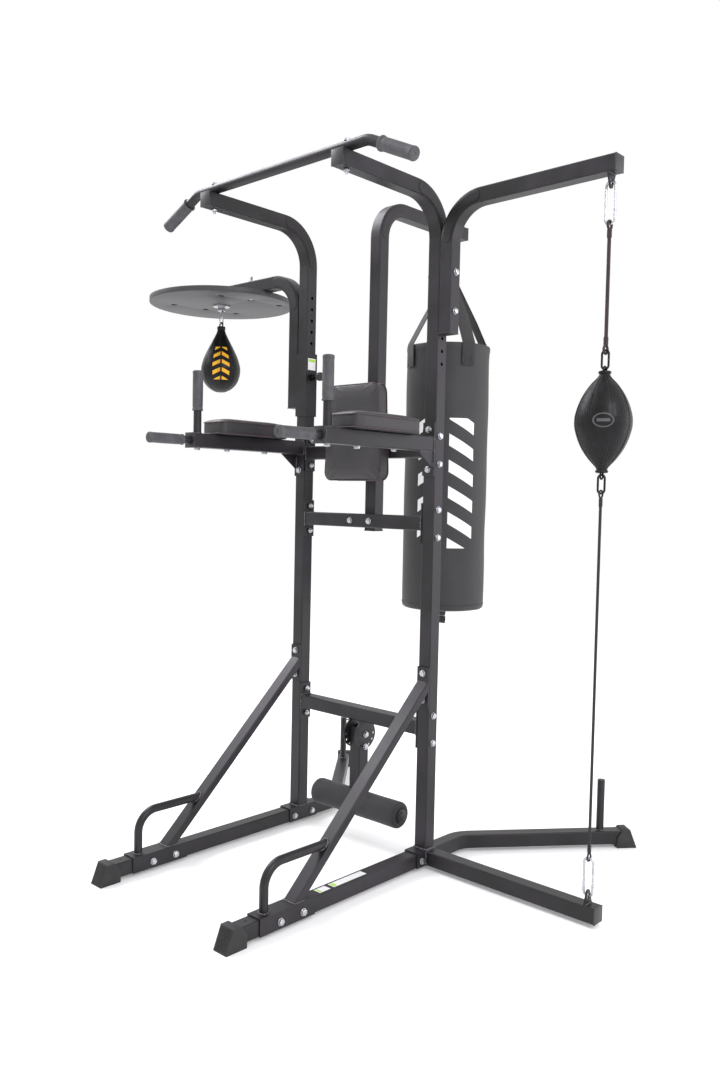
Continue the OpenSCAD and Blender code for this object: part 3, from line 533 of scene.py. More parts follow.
def nothing_selected():
    if bpy.context.object and bpy.context.object.mode != "OBJECT":
        bpy.ops.object.mode_set(mode="OBJECT")
    bpy.ops.object.select_all(action="DESELECT")


def pick(obj):
    """Makes one object the selected and active one."""
    nothing_selected()
    obj.select_set(True)
    bpy.context.view_layer.objects.active = obj
    return obj


def shape_in_edit_mode(obj, chosen, *steps):
    """Runs edit-mode steps on what chosen says: 'vert', 'edge' or 'face' and a test."""
    kind, test = chosen
    mesh = obj.data
    pick(obj)
    bpy.ops.object.mode_set(mode="EDIT")
    bpy.ops.mesh.select_mode(type=kind.upper())
    bpy.ops.mesh.select_all(action="DESELECT")
    bpy.ops.object.mode_set(mode="OBJECT")
    items = {"vert": mesh.vertices, "edge": mesh.edges, "face": mesh.polygons}[kind]
    for item in items:
        item.select = bool(test(mesh, item))
    bpy.ops.object.mode_set(mode="EDIT")
    for step in steps:
        step()
    bpy.ops.object.mode_set(mode="OBJECT")


def edge_ends(mesh, edge):
    first, second = (mesh.vertices[index].co for index in edge.vertices)
    return first, second


def modify(obj, kind, **settings):
    """Adds a modifier and applies it."""
    pick(obj)
    modifier = obj.modifiers.new(kind.lower(), kind)
    for name, value in settings.items():
        setattr(modifier, name, value)
    bpy.ops.object.modifier_apply(modifier=modifier.name)
    return obj


def outwards(obj):
    """Merges doubles and turns every face outwards."""
    pick(obj)
    bpy.ops.object.mode_set(mode="EDIT")
    bpy.ops.mesh.select_all(action="SELECT")
    bpy.ops.mesh.remove_doubles(threshold=0.00001)
    bpy.ops.mesh.normals_make_consistent(inside=False)
    bpy.ops.object.mode_set(mode="OBJECT")
    return obj


def place_by(obj, matrix):
    """Moves a shape by a matrix and keeps its object at the origin."""
    obj.matrix_world = matrix
    pick(obj)
    bpy.ops.object.transform_apply(location=True, rotation=True, scale=True)
    return obj


def joined(objects):
    if len(objects) == 1:
        return objects[0]
    nothing_selected()
    for obj in objects:
        obj.select_set(True)
    bpy.context.view_layer.objects.active = objects[0]
    bpy.ops.object.join()
    return objects[0]


def copied(obj, matrix=None):
    """A copy with its own mesh, moved by a matrix."""
    twin = obj.copy()
    twin.data = obj.data.copy()
    bpy.context.collection.objects.link(twin)
    return place_by(twin, matrix) if matrix else twin


def removed(obj):
    bpy.data.objects.remove(obj)


def piece(obj, name, finish, slot, body, *stands_for, smooth=35):
    """Names a finished shape, gives it its finish and its body."""
    pick(obj)
    if obj.type != "MESH":
        bpy.ops.object.convert(target="MESH")
    bpy.ops.object.transform_apply(location=True, rotation=True, scale=True)
    obj.name = name
    obj.data.name = name
    obj.data.materials.clear()
    obj.data.materials.append(finish_named(finish))
    bpy.ops.object.shade_smooth_by_angle(angle=math.radians(smooth))
    if stands_for:
        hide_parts(*stands_for)
    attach(obj, body)
    return obj


def turned(profile, segments=48):
    """A closed round shape about +Z through (radius, height) pairs in mm, extruded ring by ring."""
    nothing_selected()
    (radius, height), *rest = profile
    bpy.ops.mesh.primitive_circle_add(
        vertices=segments, radius=radius * MM, fill_type="NGON", location=(0, 0, height * MM))
    obj = bpy.context.object
    bpy.ops.object.transform_apply(location=True)
    bpy.ops.object.mode_set(mode="EDIT")
    for next_radius, next_height in rest:
        rise = (next_height - height) * MM
        bpy.ops.mesh.extrude_region_move(TRANSFORM_OT_translate={"value": (0, 0, rise)})
        ratio = next_radius / radius
        bpy.ops.transform.resize(value=(ratio, ratio, 1), center_override=(0, 0, next_height * MM))
        radius, height = next_radius, next_height
    bpy.ops.object.mode_set(mode="OBJECT")
    return outwards(obj)


def wire(points, radius, closed=False, radii=None, sides=3, smooth=False):
    """A round wire through points, as a mesh."""
    nothing_selected()
    curve = bpy.data.curves.new("wire", "CURVE")
    curve.dimensions = "3D"
    curve.bevel_depth = radius
    curve.bevel_resolution = sides
    curve.use_fill_caps = True
    spline = curve.splines.new("NURBS" if smooth else "POLY")
    spline.points.add(len(points) - 1)
    for index, point in enumerate(points):
        spline.points[index].co = (*point, 1.0)
        if radii:
            spline.points[index].radius = radii[index]
    if smooth:
        spline.order_u = 3
        spline.use_endpoint_u = not closed
        spline.resolution_u = 4
    spline.use_cyclic_u = closed
    obj = bpy.data.objects.new("wire", curve)
    bpy.context.collection.objects.link(obj)
    pick(obj)
    bpy.ops.object.convert(target="MESH")
    return bpy.context.object


def strip(path, across, widths, thickness):
    """A flat band along a path; across gives its sideways direction at each point."""
    nothing_selected()
    bpy.ops.mesh.primitive_grid_add(x_subdivisions=len(path) - 1, y_subdivisions=4, size=2)
    obj = bpy.context.object
    columns = sorted({round(v.co.x, 5) for v in obj.data.vertices})
    for vertex in obj.data.vertices:
        index = columns.index(round(vertex.co.x, 5))
        vertex.co = path[index] + across[index] * (vertex.co.y * widths[index])
    modify(obj, "SOLIDIFY", thickness=thickness, offset=0.0)
    return obj


def torus(place, major, minor, segments, sides, turn):
    """A ring about a place, with its radii in mm."""
    nothing_selected()
    bpy.ops.mesh.primitive_torus_add(
        major_radius=major * MM, minor_radius=minor * MM, major_segments=segments,
        minor_segments=sides, location=place, rotation=turn)
    return bpy.context.object


def loop_points(width, height, corner, steps=6, pitch=None):
    """A rounded rectangle in the XY plane; pitch adds points along its straight sides."""
    points = []
    for quarter, (sx, sy) in enumerate(((1, 1), (-1, 1), (-1, -1), (1, -1))):
        centre = Vector((sx * (width / 2 - corner), sy * (height / 2 - corner), 0))
        for step in range(steps + 1):
            angle = math.pi / 2 * (quarter + step / steps)
            points.append(centre + corner * Vector((math.cos(angle), math.sin(angle), 0)))
    if not pitch:
        return points
    dense = []
    for first, second in zip(points, points[1:] + points[:1]):
        count = max(1, round((second - first).length / pitch))
        dense += [first.lerp(second, step / count) for step in range(count)]
    return dense


def bead(points, radius, closed=True):
    """A weld bead whose thickness ripples along its path."""
    ripple = [0.80 + 0.28 * abs(math.sin(index * 0.9)) + 0.06 * math.sin(index * 2.3)
              for index in range(len(points))]
    return wire(points, radius, closed, ripple, 2)


def islands(node):
    """The vertices of each separate solid of a CAD node, as lists of places."""
    mesh = PARTS[node].data
    leader = {}

    def find(key):
        while leader[key] != key:
            leader[key] = leader[leader[key]]
            key = leader[key]
        return key

    keys = [tuple(round(value, 5) for value in vertex.co) for vertex in mesh.vertices]
    for key in keys:
        leader.setdefault(key, key)
    for face in mesh.polygons:
        first = find(keys[face.vertices[0]])
        for index in face.vertices[1:]:
            leader[find(keys[index])] = first
    groups = {}
    for key in leader:
        groups.setdefault(find(key), []).append(Vector(key))
    return [groups[key] for key in sorted(groups)]


def span(points):
    low = Vector([min(point[axis] for point in points) for axis in range(3)])
    high = Vector([max(point[axis] for point in points) for axis in range(3)])
    return low, high


def softened(node, width, finish, slot, body):
    """A CAD node's shape again, with its edges rounded over."""
    twin = PARTS[node].copy()
    twin.data = PARTS[node].data.copy()
    for key in [key for key in twin.keys() if key.startswith("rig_")]:
        del twin[key]
    twin.parent = None
    bpy.context.collection.objects.link(twin)
    pick(twin)
    if twin.data.has_custom_normals:
        bpy.ops.mesh.customdata_custom_splitnormals_clear()
    bpy.ops.object.mode_set(mode="EDIT")
    bpy.ops.mesh.select_all(action="SELECT")
    bpy.ops.mesh.remove_doubles(threshold=0.00001)
    bpy.ops.mesh.dissolve_limited(angle_limit=math.radians(0.5))
    bpy.ops.object.mode_set(mode="OBJECT")
    modify(twin, "BEVEL", width=width * MM, segments=2, limit_method="ANGLE",
           angle_limit=math.radians(40), use_clamp_overlap=True)
    modify(twin, "TRIANGULATE")
    return piece(twin, node + "_shape", finish, slot, body, node)


# ------------------------------------------------------------------ frame pieces

POWDER_NODES = (
    "left_floor_tube", "right_floor_tube", "side_floor_tube", "left_upright", "right_upright",
    "left_brace", "right_brace", "left_push_up_handle", "right_push_up_handle", "lower_crossbar",
    "middle_crossbar", "upper_crossbar", "left_dip_arm", "right_dip_arm", "dip_handle_tubes",
    "pull_up_bar", "heavy_bag_post", "double_end_arm", "bag_eyelets", "plate_posts",
    "index_plates", "roller_hanger", "platform_sleeve", "platform_arm",
)
PLAIN_NODES = {
    "powder_coat": POWDER_NODES,
    "zinc": ("roller_axle", "swivel_flange", "swivel_ball", "speed_bag_hook",
             "heavy_bag_carabiner", "heavy_bag_gate", "top_snap_hook", "top_hook_gate",
             "floor_snap_hook", "floor_hook_gate"),
    "black_steel": ("upper_clip", "lower_clip", "pop_pin_barrel"),
    "black_plastic": ("liners_and_arm_plugs", "roller_end_caps"),
}


class TOWER_OT_frame_finishes(bpy.types.Operator):
    """Gives the frame's own parts their finishes"""

    bl_idname = "tower.frame_finishes"
    bl_label = "Frame finishes"

    def execute(self, context):
        for finish, nodes in PLAIN_NODES.items():
            for node in nodes:
                mesh = PARTS[node].data
                mesh.materials.clear()
                mesh.materials.append(finish_named(finish))
        return {"FINISHED"}


def bend_skin(corner, out, bottom_up, radius, side):
    """The pressed side of a bend: an arc with round ends, raised a little from the tube's side.

    corner is the bend's centre, out the direction that the arm runs in, side the side it shows."""
    half_width = 17.5 * MM
    reach = -15 * MM    # below zero: the pressing stops short of the bend's ends
    arc = radius * math.pi / 2
    stations = 40
    path, across, widths = [], [], []
    up = Vector(bottom_up)
    total = arc + 2 * (reach + half_width)
    for index in range(stations + 1):
        ease = (1 - math.cos(math.pi * index / stations)) / 2
        s = -reach - half_width + total * ease
        if s < 0:
            point = corner - out * radius + up * s
            normal = out
        elif s > arc:
            point = corner + up * radius + out * (s - arc)
            normal = -up
        else:
            angle = s / radius
            point = corner - out * (radius * math.cos(angle)) + up * (radius * math.sin(angle))
            normal = out * math.cos(angle) - up * math.sin(angle)
        over = max(-reach - s, s - arc - reach, 0.0)
        width = math.sqrt(max(half_width ** 2 - over ** 2, (0.6 * MM) ** 2))
        path.append(point + Vector(side) * (HALF * MM - 0.4 * MM))
        across.append(normal)
        widths.append(width)
    height = bpy.context.scene.tower_sizes.pressing
    skin = strip(path, across, widths, 2 * (height + 0.4 * MM))
    return modify(outwards(skin), "BEVEL", width=0.5 * MM, segments=2, limit_method="ANGLE",
                  angle_limit=math.radians(50))


class TOWER_OT_bend_pressings(bpy.types.Operator):
    """Adds the pressed side faces of the tube bends"""

    bl_idname = "tower.bend_pressings"
    bl_label = "Bend pressings"

    def execute(self, context):
        up = (0, 0, 1)
        forward, back, right, left = (0, -1, 0), (0, 1, 0), (1, 0, 0), (-1, 0, 0)
        bends = [
            ("left_upright", at(-SIDE, -127, 2100 - HALF - 127), forward, 127, "root"),
            ("right_upright", at(SIDE, -127, 2100 - HALF - 127), forward, 127, "root"),
            ("heavy_bag_post", at(0, 49 + 107, 2145 - HALF - 107), back, 107, "root"),
            ("double_end_arm", at(332.5 + 117, 0, 2073 - HALF - 117), right, 117, "root"),
            ("platform_arm", at(-335.7 - 107, 0, 1941 - HALF - 107), left, 107, "speed_carriage"),
        ]
        for name, corner, out, radius, body in bends:
            run = Vector(out)
            faces = [Vector(up).cross(run) * sign for sign in SIDES]
            skins = [bend_skin(corner, run, up, radius * MM, face) for face in faces]
            piece(joined(skins), name + "_pressings", "powder_coat", "powder_coat", body, smooth=40)
        return {"FINISHED"}


def box_bead(centre, width, depth, radius, turn=None):
    """A bead round a rectangular tube that stands on a face."""
    points = loop_points(width * MM, depth * MM, 4 * MM, 3, 1.6 * MM)
    matrix = Matrix.Translation(centre) @ (turn or Matrix.Identity(4))
    return bead([matrix @ point for point in points], radius)


def ring_bead(centre, axis, tube_radius, radius, tilt=None):
    count = max(24, round(2 * math.pi * tube_radius / 1.6))
    matrix = along(centre, axis)
    points = []
    for index in range(count):
        angle = 2 * math.pi * index / count
        flat = Vector((math.cos(angle), math.sin(angle), 0)) * tube_radius * MM
        if tilt:
            flat = tilt(flat)
        points.append(matrix @ flat)
    return bead(points, radius)


def line_bead(first, second, radius):
    count = max(3, round((second - first).length / (1.6 * MM)))
    return bead([first.lerp(second, step / count) for step in range(count + 1)], radius, False)


class TOWER_OT_welds(bpy.types.Operator):
    """Adds the weld beads where the frame's tubes and plates meet"""

    bl_idname = "tower.welds"
    bl_label = "Welds"

    def execute(self, context):
        r = context.scene.tower_sizes.bead
        beads = []
        for s in SIDES:
            x = s * SIDE
            beads.append(box_bead(at(x, 0, SADDLE_TOP + 0.5), TUBE + 2, TUBE + 2, r))
            beads.append(ring_bead(at(x, HANDLE_Y, SADDLE_TOP + 0.5), (0, 0, 1), ROUND + 1, r * 1.2))
            slant = 1 / math.tan(BRACE_ANGLE)
            beads.append(ring_bead(at(x, HANDLE_JOINT_Y - 1, HANDLE_Z), (0, -1, 0), ROUND + 0.8, r,
                                   lambda flat: flat + Vector((0, 0, 1)) * (-flat.y * slant)))
            foot_front = -508 - 3
            run = 25 / math.sin(BRACE_ANGLE)
            brace_low_y = BRACE_FACE_Y - (BRACE_FACE_TOP - SADDLE_TOP) / math.tan(BRACE_ANGLE)
            z = SADDLE_TOP + 0.6
            front, rear = (min(brace_low_y + dy, foot_front) for dy in (-run / 2, run / 2))
            for y in (front, rear):
                beads.append(line_bead(at(x - HALF, y, z), at(x + HALF, y, z), r))
            for dx in (-HALF, HALF):
                beads.append(line_bead(at(x + dx, brace_low_y - run / 2, z), at(x + dx, rear, z), r))
            plate = -HALF - 5
            turn = Matrix.Rotation(math.pi / 2, 4, "X")
            beads.append(box_bead(at(x, plate, 1347 - HALF), TUBE + 1.5, TUBE + 1.5, r * 0.9, turn))
            for dx in (s * 16.5 - 2.6, s * 16.5 + 2.6):
                y = plate - 0.6
                beads.append(line_bead(at(x + dx, plate - 6, 1301.4), at(x + dx, plate - 64, 1301.4), r * 0.8))
                beads.append(line_bead(at(x + dx, y, 1296), at(x + dx, y, 1254), r * 0.8))
            beads.append(ring_bead(at(x, -470, 1347.3), (0, 0, 1), ROUND + 0.8, r * 0.9))
            for z in (437, 1080, 1307):
                turn = Matrix.Rotation(math.pi / 2, 4, "Y")
                beads.append(box_bead(at(s * (SIDE - HALF - 5.3), 0, z), TUBE + 1.5, TUBE + 1.5, r * 0.8, turn))
            post = on_leg(448)
            beads.append(ring_bead(at(s * post[0], post[1], 57.4), (0, 0, 1), ROUND + 0.8, r))
        turn = Matrix.Rotation(math.pi / 2, 4, "Y")
        beads.append(box_bead(at(SIDE + 26, 0, 34.5), TUBE + 1.5, TUBE + 1.5, r, turn))
        for z in (1080, 1307):
            for x in (-HALF - 0.8, HALF + 0.8):
                beads.append(line_bead(at(x, 26.6, z - 21), at(x, 26.6, z + 21), r * 0.8))
        for x in (23, 27.5):
            for sign in SIDES:
                beads.append(line_bead(at(sign * x, -37, 414.2), at(sign * x, 37, 414.2), r * 0.7))
        for centre, run in ((at(862, 0, 2027.6), (0, 1, 0)), (at(862, 0, 57.4), (0, 1, 0)),
                            (at(0, 435, 2099.6), (1, 0, 0))):
            side = Vector(run).cross((0, 0, 1))
            for sign in SIDES:
                middle_line = centre + side * (sign * 2.8 * MM)
                beads.append(line_bead(middle_line - Vector(run) * 19 * MM,
                                       middle_line + Vector(run) * 19 * MM, r * 0.8))
        piece(joined(beads), "weld_beads", "weld", "powder_coat", "root", smooth=60)
        return {"FINISHED"}


def hex_head(radius, height):
    """Hexagonal head on +Z with a chamfered, slightly domed top."""
    nothing_selected()
    bpy.ops.mesh.primitive_cylinder_add(
        vertices=6, radius=radius * MM, depth=height * 0.78 * MM, location=(0, 0, height * 0.39 * MM))
    obj = bpy.context.object
    bpy.ops.object.transform_apply(location=True)
    top = max(vertex.co.z for vertex in obj.data.vertices)
    shape_in_edit_mode(
        obj, ("face", lambda mesh, face: face.center.z > top - 0.1 * MM),
        lambda: bpy.ops.mesh.inset(thickness=0.35 * MM),
        lambda: bpy.ops.mesh.extrude_region_move(
            TRANSFORM_OT_translate={"value": (0, 0, height * 0.15 * MM)}),
        lambda: bpy.ops.transform.resize(value=(0.87, 0.87, 1)),
        lambda: bpy.ops.mesh.inset(thickness=radius * 0.25 * MM),
        lambda: bpy.ops.transform.translate(value=(0, 0, height * 0.07 * MM)))
    return modify(outwards(obj), "BEVEL", width=0.5 * MM, segments=2, limit_method="ANGLE",
                  angle_limit=math.radians(28))


def threaded_shank(length, radius):
    """Bolt shank from 0 down to -length, with thread ridges on its last 16 mm."""
    profile = [(radius - 1.2, -length), (radius, -length + 1.2)]
    height = -length + 1.8
    while height < -length + 15:
        profile += [(radius, height), (radius - 0.5, height + 0.5)]
        height += 1.25
    profile += [(radius, height + 0.4), (radius, 1.0)]
    return turned(profile, 20)


def washer(radius, thickness, hole):
    profile = [(radius - 0.3, 0), (radius, 0.4), (radius, thickness - 0.4), (radius - 0.5, thickness)]
    obj = turned(profile, 32)
    shape_in_edit_mode(
        obj, ("face", lambda mesh, face: abs(face.normal.z) > 0.9 and len(face.vertices) > 8),
        lambda: bpy.ops.mesh.inset(thickness=(radius - 0.5 - hole) * MM))
    return obj


class TOWER_OT_fasteners(bpy.types.Operator):
    """Models the bolts, nuts and washers at the places of the frame's plain ones"""

    bl_idname = "tower.fasteners"
    bl_label = "Fasteners"

    def execute(self, context):
        self.bolts("frame_bolts", "root")
        self.nuts("nuts_and_washers", "root")
        self.platform()
        return {"FINISHED"}

    @staticmethod
    def head_place(points):
        """(place under the head, direction of the head, shank length in mm) of a plain bolt."""
        low, high = span(points)
        size = high - low
        axis = max(range(3), key=lambda index: size[index])
        centre = (low + high) / 2

        def reach(end):
            near = [p for p in points if abs(p[axis] - end) < 0.2 * MM]
            offsets = [(p - centre) for p in near]
            for offset in offsets:
                offset[axis] = 0
            return max(offset.length for offset in offsets)

        sign = 1 if reach(high[axis]) > reach(low[axis]) else -1
        direction = Vector((0, 0, 0))
        direction[axis] = sign
        foot = centre.copy()
        foot[axis] = (high if sign > 0 else low)[axis] - sign * 6.4 * MM
        return foot, direction, size[axis] / MM - 6.4

    def bolts(self, node, body):
        head = hex_head(9.2, 6.4)
        shanks = {}
        made = []
        for index, points in enumerate(islands(node)):
            foot, direction, length = self.head_place(points)
            matrix = along(foot, direction, index * 0.7)
            key = round(length, 1)
            if key not in shanks:
                shanks[key] = threaded_shank(key, 4.9)
            made += [copied(head, matrix), copied(shanks[key], matrix)]
        removed(head)
        for shank in shanks.values():
            removed(shank)
        piece(joined(made), "frame_bolts_shape", "zinc", "zinc", body, node)

    def nuts(self, node, body):
        nut = hex_head(9.2, 8.0)
        flat = washer(10.5, 2.0, 5.0)
        made = []
        for index, points in enumerate(islands(node)):
            low, high = span(points)
            size = high - low
            axis = min(range(3), key=lambda item: size[item])
            centre = (low + high) / 2
            direction = Vector((0, 0, 0))
            direction[axis] = 1
            if size[axis] < 3 * MM:
                made.append(copied(flat, along(centre - direction * MM, direction)))
            else:
                away = direction if self.points_out(centre, axis) else -direction
                made.append(copied(nut, along(centre - away * 4 * MM, away, index * 0.6)))
        removed(nut)
        removed(flat)
        piece(joined(made), "nuts_and_washers_shape", "zinc", "zinc", body, node)

    @staticmethod
    def points_out(centre, axis):
        """Which way a nut's domed side looks: away from the tube that it is on."""
        local = centre - CENTRE
        if axis == 1:
            return local.y > 0
        if axis == 2:
            return False
        side = SIDE * MM if local.x > 0 else -SIDE * MM
        return local.x > side if abs(local.x) > 100 * MM else local.x > 0

    def platform(self):
        low = box("platform_bolts")[0]
        head = hex_head(9.2, 6.4)
        nut = hex_head(11.2, 8.0)
        x = CENTRE.x + (-762 + 172) * MM
        shank = threaded_shank(79, 4.9)
        bolt_up = along(Vector((x, CENTRE.y, low.z + 6.4 * MM)), (0, 0, -1))
        made = [copied(head, bolt_up), copied(shank, bolt_up)]
        for place in (x, CENTRE.x - 0.762):
            made.append(copied(nut, along(Vector((place, CENTRE.y, 1.941)), (0, 0, 1))))
        for obj in (head, nut, shank):
            removed(obj)
        piece(joined(made), "platform_bolts_shape", "zinc", "zinc", "speed_carriage", "platform_bolts")


class TOWER_OT_tube_ends(bpy.types.Operator):
    """Rounds over the plugs, plates and feet and adds the feet's tread"""

    bl_idname = "tower.tube_ends"
    bl_label = "Tube ends and feet"

    def execute(self, context):
        softened("rubber_feet", 1.6, "foot_rubber", "foot_rubber", "root")
        softened("tube_plugs", 0.9, "black_plastic", "black_plastic", "root")
        softened("index_plates", 0.8, "powder_coat", "powder_coat", "root")
        softened("roller_end_caps", 1.0, "black_plastic", "black_plastic", "root")
        softened("platform_board", 1.2, "board_paint", "board_paint", "speed_carriage")
        self.treads()
        return {"FINISHED"}

    def treads(self):
        """Rows of small blocks on the sloped face of each foot."""
        nothing_selected()
        bpy.ops.mesh.primitive_cube_add(size=1)
        block = bpy.context.object
        for vertex in block.data.vertices:
            taper = 0.75 if vertex.co.z > 0 else 1.0
            side = 4.4 * taper
            vertex.co = Vector((vertex.co.x * side, vertex.co.y * side, vertex.co.z * 1.6)) * MM
        slope_run, slope_rise = 24.0, 62.0
        slope = math.atan2(slope_rise, slope_run)
        length = math.hypot(slope_run, slope_rise)
        places = [(at(s * SIDE, -819, 0), 0.0) for s in SIDES]
        leg_end = on_leg(540)
        for s in SIDES:
            toe = Vector((s * math.sin(LEG_ANGLE), math.cos(LEG_ANGLE), 0)) * 29 * MM
            turn = math.pi - s * LEG_ANGLE
            places.append((at(s * leg_end[0], leg_end[1], 0) + toe, turn))
        made = []
        for corner, turn in places:
            stand = Matrix.Translation(corner) @ Matrix.Rotation(turn, 4, "Z")
            tilt = stand @ Matrix.Rotation(slope, 4, "X")
            for row in range(10):
                for column in range(7):
                    shift = 3.2 if row % 2 else 0.0
                    place = Vector(((column - 3) * 6.6 + shift - 1.6, 6 + row * (length - 12) / 9, 0.5)) * MM
                    spin = Matrix.Rotation(math.pi / 4, 4, "Z")
                    made.append(copied(block, tilt @ Matrix.Translation(place) @ spin))
        removed(block)
        piece(joined(made), "foot_treads", "foot_rubber", "foot_rubber", "root")


class TOWER_OT_grips(bpy.types.Operator):
    """Models the rubber grips of the dip handles and the pull-up bar"""

    bl_idname = "tower.grips"
    bl_label = "Grips"

    def execute(self, context):
        dip = self.grip(125, 16.0, 17.2)
        for s, name in ((-1, "left_dip_grips"), (1, "right_dip_grips")):
            x = s * SIDE
            pair = [copied(dip, along(at(x, -470, 1543 - 125), (0, 0, 1))),
                    copied(dip, along(at(x, -652 + 125, 1347 - HALF), (0, -1, 0)))]
            piece(joined(pair), name + "_shape", "grip_rubber", "grip_rubber", "root", name)
        removed(dip)
        bar = self.grip(128, 18.5, 21.0)
        drop = math.radians(25)
        start = Vector((352 + 70 * math.sin(drop), 0, -70 * (1 - math.cos(drop))))
        run = Vector((math.cos(drop), 0, -math.sin(drop)))
        pair = []
        for s in SIDES:
            near = start + run * (165 - 128)
            place = at(s * near.x, -415, 2115 + near.z)
            pair.append(copied(bar, along(place, (s * run.x, 0, run.z))))
        removed(bar)
        piece(joined(pair), "pull_up_grips_shape", "grip_rubber", "grip_rubber", "root", "pull_up_grips")
        return {"FINISHED"}

    @staticmethod
    def grip(length, radius, flange):
        """Grip that starts with its flange at 0 and ends closed at length."""
        profile = [(radius - 3.0, 0.0), (flange - 0.8, 0.0), (flange, 0.9), (flange, 3.4), (flange - 0.9, 4.4),
                   (radius + 0.4, 4.8), (radius, 7.0), (radius - 0.5, 9.0), (radius - 0.5, 10.5), (radius, 12.0)]
        for step in range(1, 8):
            profile.append((radius + 0.25 * math.sin(step * math.pi / 8), 12 + (length - 26) * step / 8))
        profile += [(radius, length - 12), (radius + 0.7, length - 9), (radius + 0.7, length - 4),
                    (radius - 0.2, length - 1.6), (radius - 2.2, length - 0.3), (radius - 4.5, length),
                    (radius - 8.5, length - 0.5), (4.0, length - 0.8), (3.2, length - 2.0)]
        return turned(profile, 56)


# ------------------------------------------------------------------ pads

def swollen(obj, pinned, pressure, cap):
    """Lets a closed shape swell as cloth round its pinned points, then keeps it."""
    group = obj.vertex_groups.new(name="pin")
    group.add([v.index for v in obj.data.vertices if pinned(v.co)], 1.0, "REPLACE")
    before = [vertex.co.copy() for vertex in obj.data.vertices]
    pick(obj)
    cloth = obj.modifiers.new("cloth", "CLOTH")
    cloth.settings.use_pressure = True
    cloth.settings.uniform_pressure_force = pressure
    cloth.settings.vertex_group_mass = "pin"
    cloth.settings.effector_weights.gravity = 0.0
    cloth.settings.tension_stiffness = 25.0
    cloth.settings.compression_stiffness = 25.0
    cloth.point_cache.frame_start = 1
    cloth.point_cache.frame_end = 20
    for number in range(1, 21):
        bpy.context.scene.frame_set(number)
    bpy.ops.object.modifier_apply(modifier="cloth")
    bpy.context.scene.frame_set(1)
    for vertex, start in zip(obj.data.vertices, before):
        moved = vertex.co - start
        if moved.length > cap:
            vertex.co = start + moved * (cap / moved.length)
    return obj


def cushion(width, depth, height, corner, cap, taper=0.0):
    """A boxed cushion on z = 0, sewn along a line just under its top edge.

    Returns it and that line's height."""
    nothing_selected()
    bpy.ops.mesh.primitive_cube_add(size=1, location=(0, 0, 0.5))
    obj = bpy.context.object
    bpy.ops.object.transform_apply(location=True)
    inset = 2.5 * MM
    for vertex in obj.data.vertices:
        narrow = 1 - taper * (vertex.co.y + 0.5)
        vertex.co = Vector((vertex.co.x * (width - 2 * inset) * narrow, vertex.co.y * (depth - 2 * inset),
                            vertex.co.z * (height - 2 * MM)))

    def upright(mesh, edge):
        first, second = edge_ends(mesh, edge)
        return abs(first.z - second.z) > height / 2

    shape_in_edit_mode(
        obj, ("edge", upright),
        lambda: bpy.ops.mesh.bevel(offset=corner, segments=8, affect="EDGES"))
    top = height - 2 * MM
    shape_in_edit_mode(
        obj, ("face", lambda mesh, face: face.center.z > top - 0.1 * MM),
        lambda: bpy.ops.mesh.bevel(offset=5 * MM, segments=4, affect="EDGES"))
    bpy.ops.object.mode_set(mode="OBJECT")
    modify(obj, "REMESH", mode="VOXEL", voxel_size=4.5 * MM)
    seam = top - 6 * MM

    def held(place):
        return place.z < 4 * MM or abs(place.z - seam) < 2.4 * MM

    swollen(obj, held, 4.0, cap)
    modify(obj, "SUBSURF", levels=1, render_levels=1)
    return obj, seam


def piping_points(width, depth, corner, taper, pitch=5 * MM):
    points = loop_points(width, depth, corner, 8, pitch)
    return [Vector((p.x * (1 - taper * (p.y / depth + 0.5)), p.y, 0)) for p in points]


class TOWER_OT_pads(bpy.types.Operator):
    """Models the arm pads and the back pad as sewn vinyl cushions"""

    bl_idname = "tower.pads"
    bl_label = "Pads"

    def execute(self, context):
        for name in ("left_arm_pad", "right_arm_pad"):
            low, high = box(name)
            size = high - low
            stand = Matrix.Translation(((low.x + high.x) / 2, (low.y + high.y) / 2, low.z))
            self.pad(context, name, size.x, size.y, size.z, 20 * MM, 0.0, stand)
        low, high = box("back_pad")
        size = high - low
        face = Matrix.Rotation(math.pi / 2, 4, "X")
        stand = Matrix.Translation(((low.x + high.x) / 2, high.y, (low.z + high.z) / 2)) @ face
        self.pad(context, "back_pad", size.x, size.z, size.y, 30 * MM, 0.13, stand)
        return {"FINISHED"}

    @staticmethod
    def pad(context, node, width, depth, height, corner, taper, stand):
        sizes = context.scene.tower_sizes
        body, seam = cushion(width, depth, height, corner, sizes.pad_swell, taper)
        place_by(body, stand)
        piece(body, node + "_cover", "pad_vinyl", "pad_vinyl", "root", node)
        cords = []
        for level, reach in ((seam, 2.2 * MM), (3.5 * MM, 2.0 * MM)):
            points = piping_points(width - 2 * reach, depth - 2 * reach, corner, taper)
            cords.append(wire([stand @ (p + Vector((0, 0, level))) for p in points], sizes.piping, True,
                              None, 3, True))
        piece(joined(cords), node + "_piping", "pad_piping", "pad_vinyl", "root", smooth=60)
        outline = piping_points(width - 8 * MM, depth - 8 * MM, corner, taper)
        board = [Vector((p.x, p.y, 0.6 * MM)) for p in outline]
        base = wire([stand @ p for p in board], 1.0 * MM, True)
        piece(base, node + "_staples", "black_plastic", "pad_vinyl", "root", smooth=60)


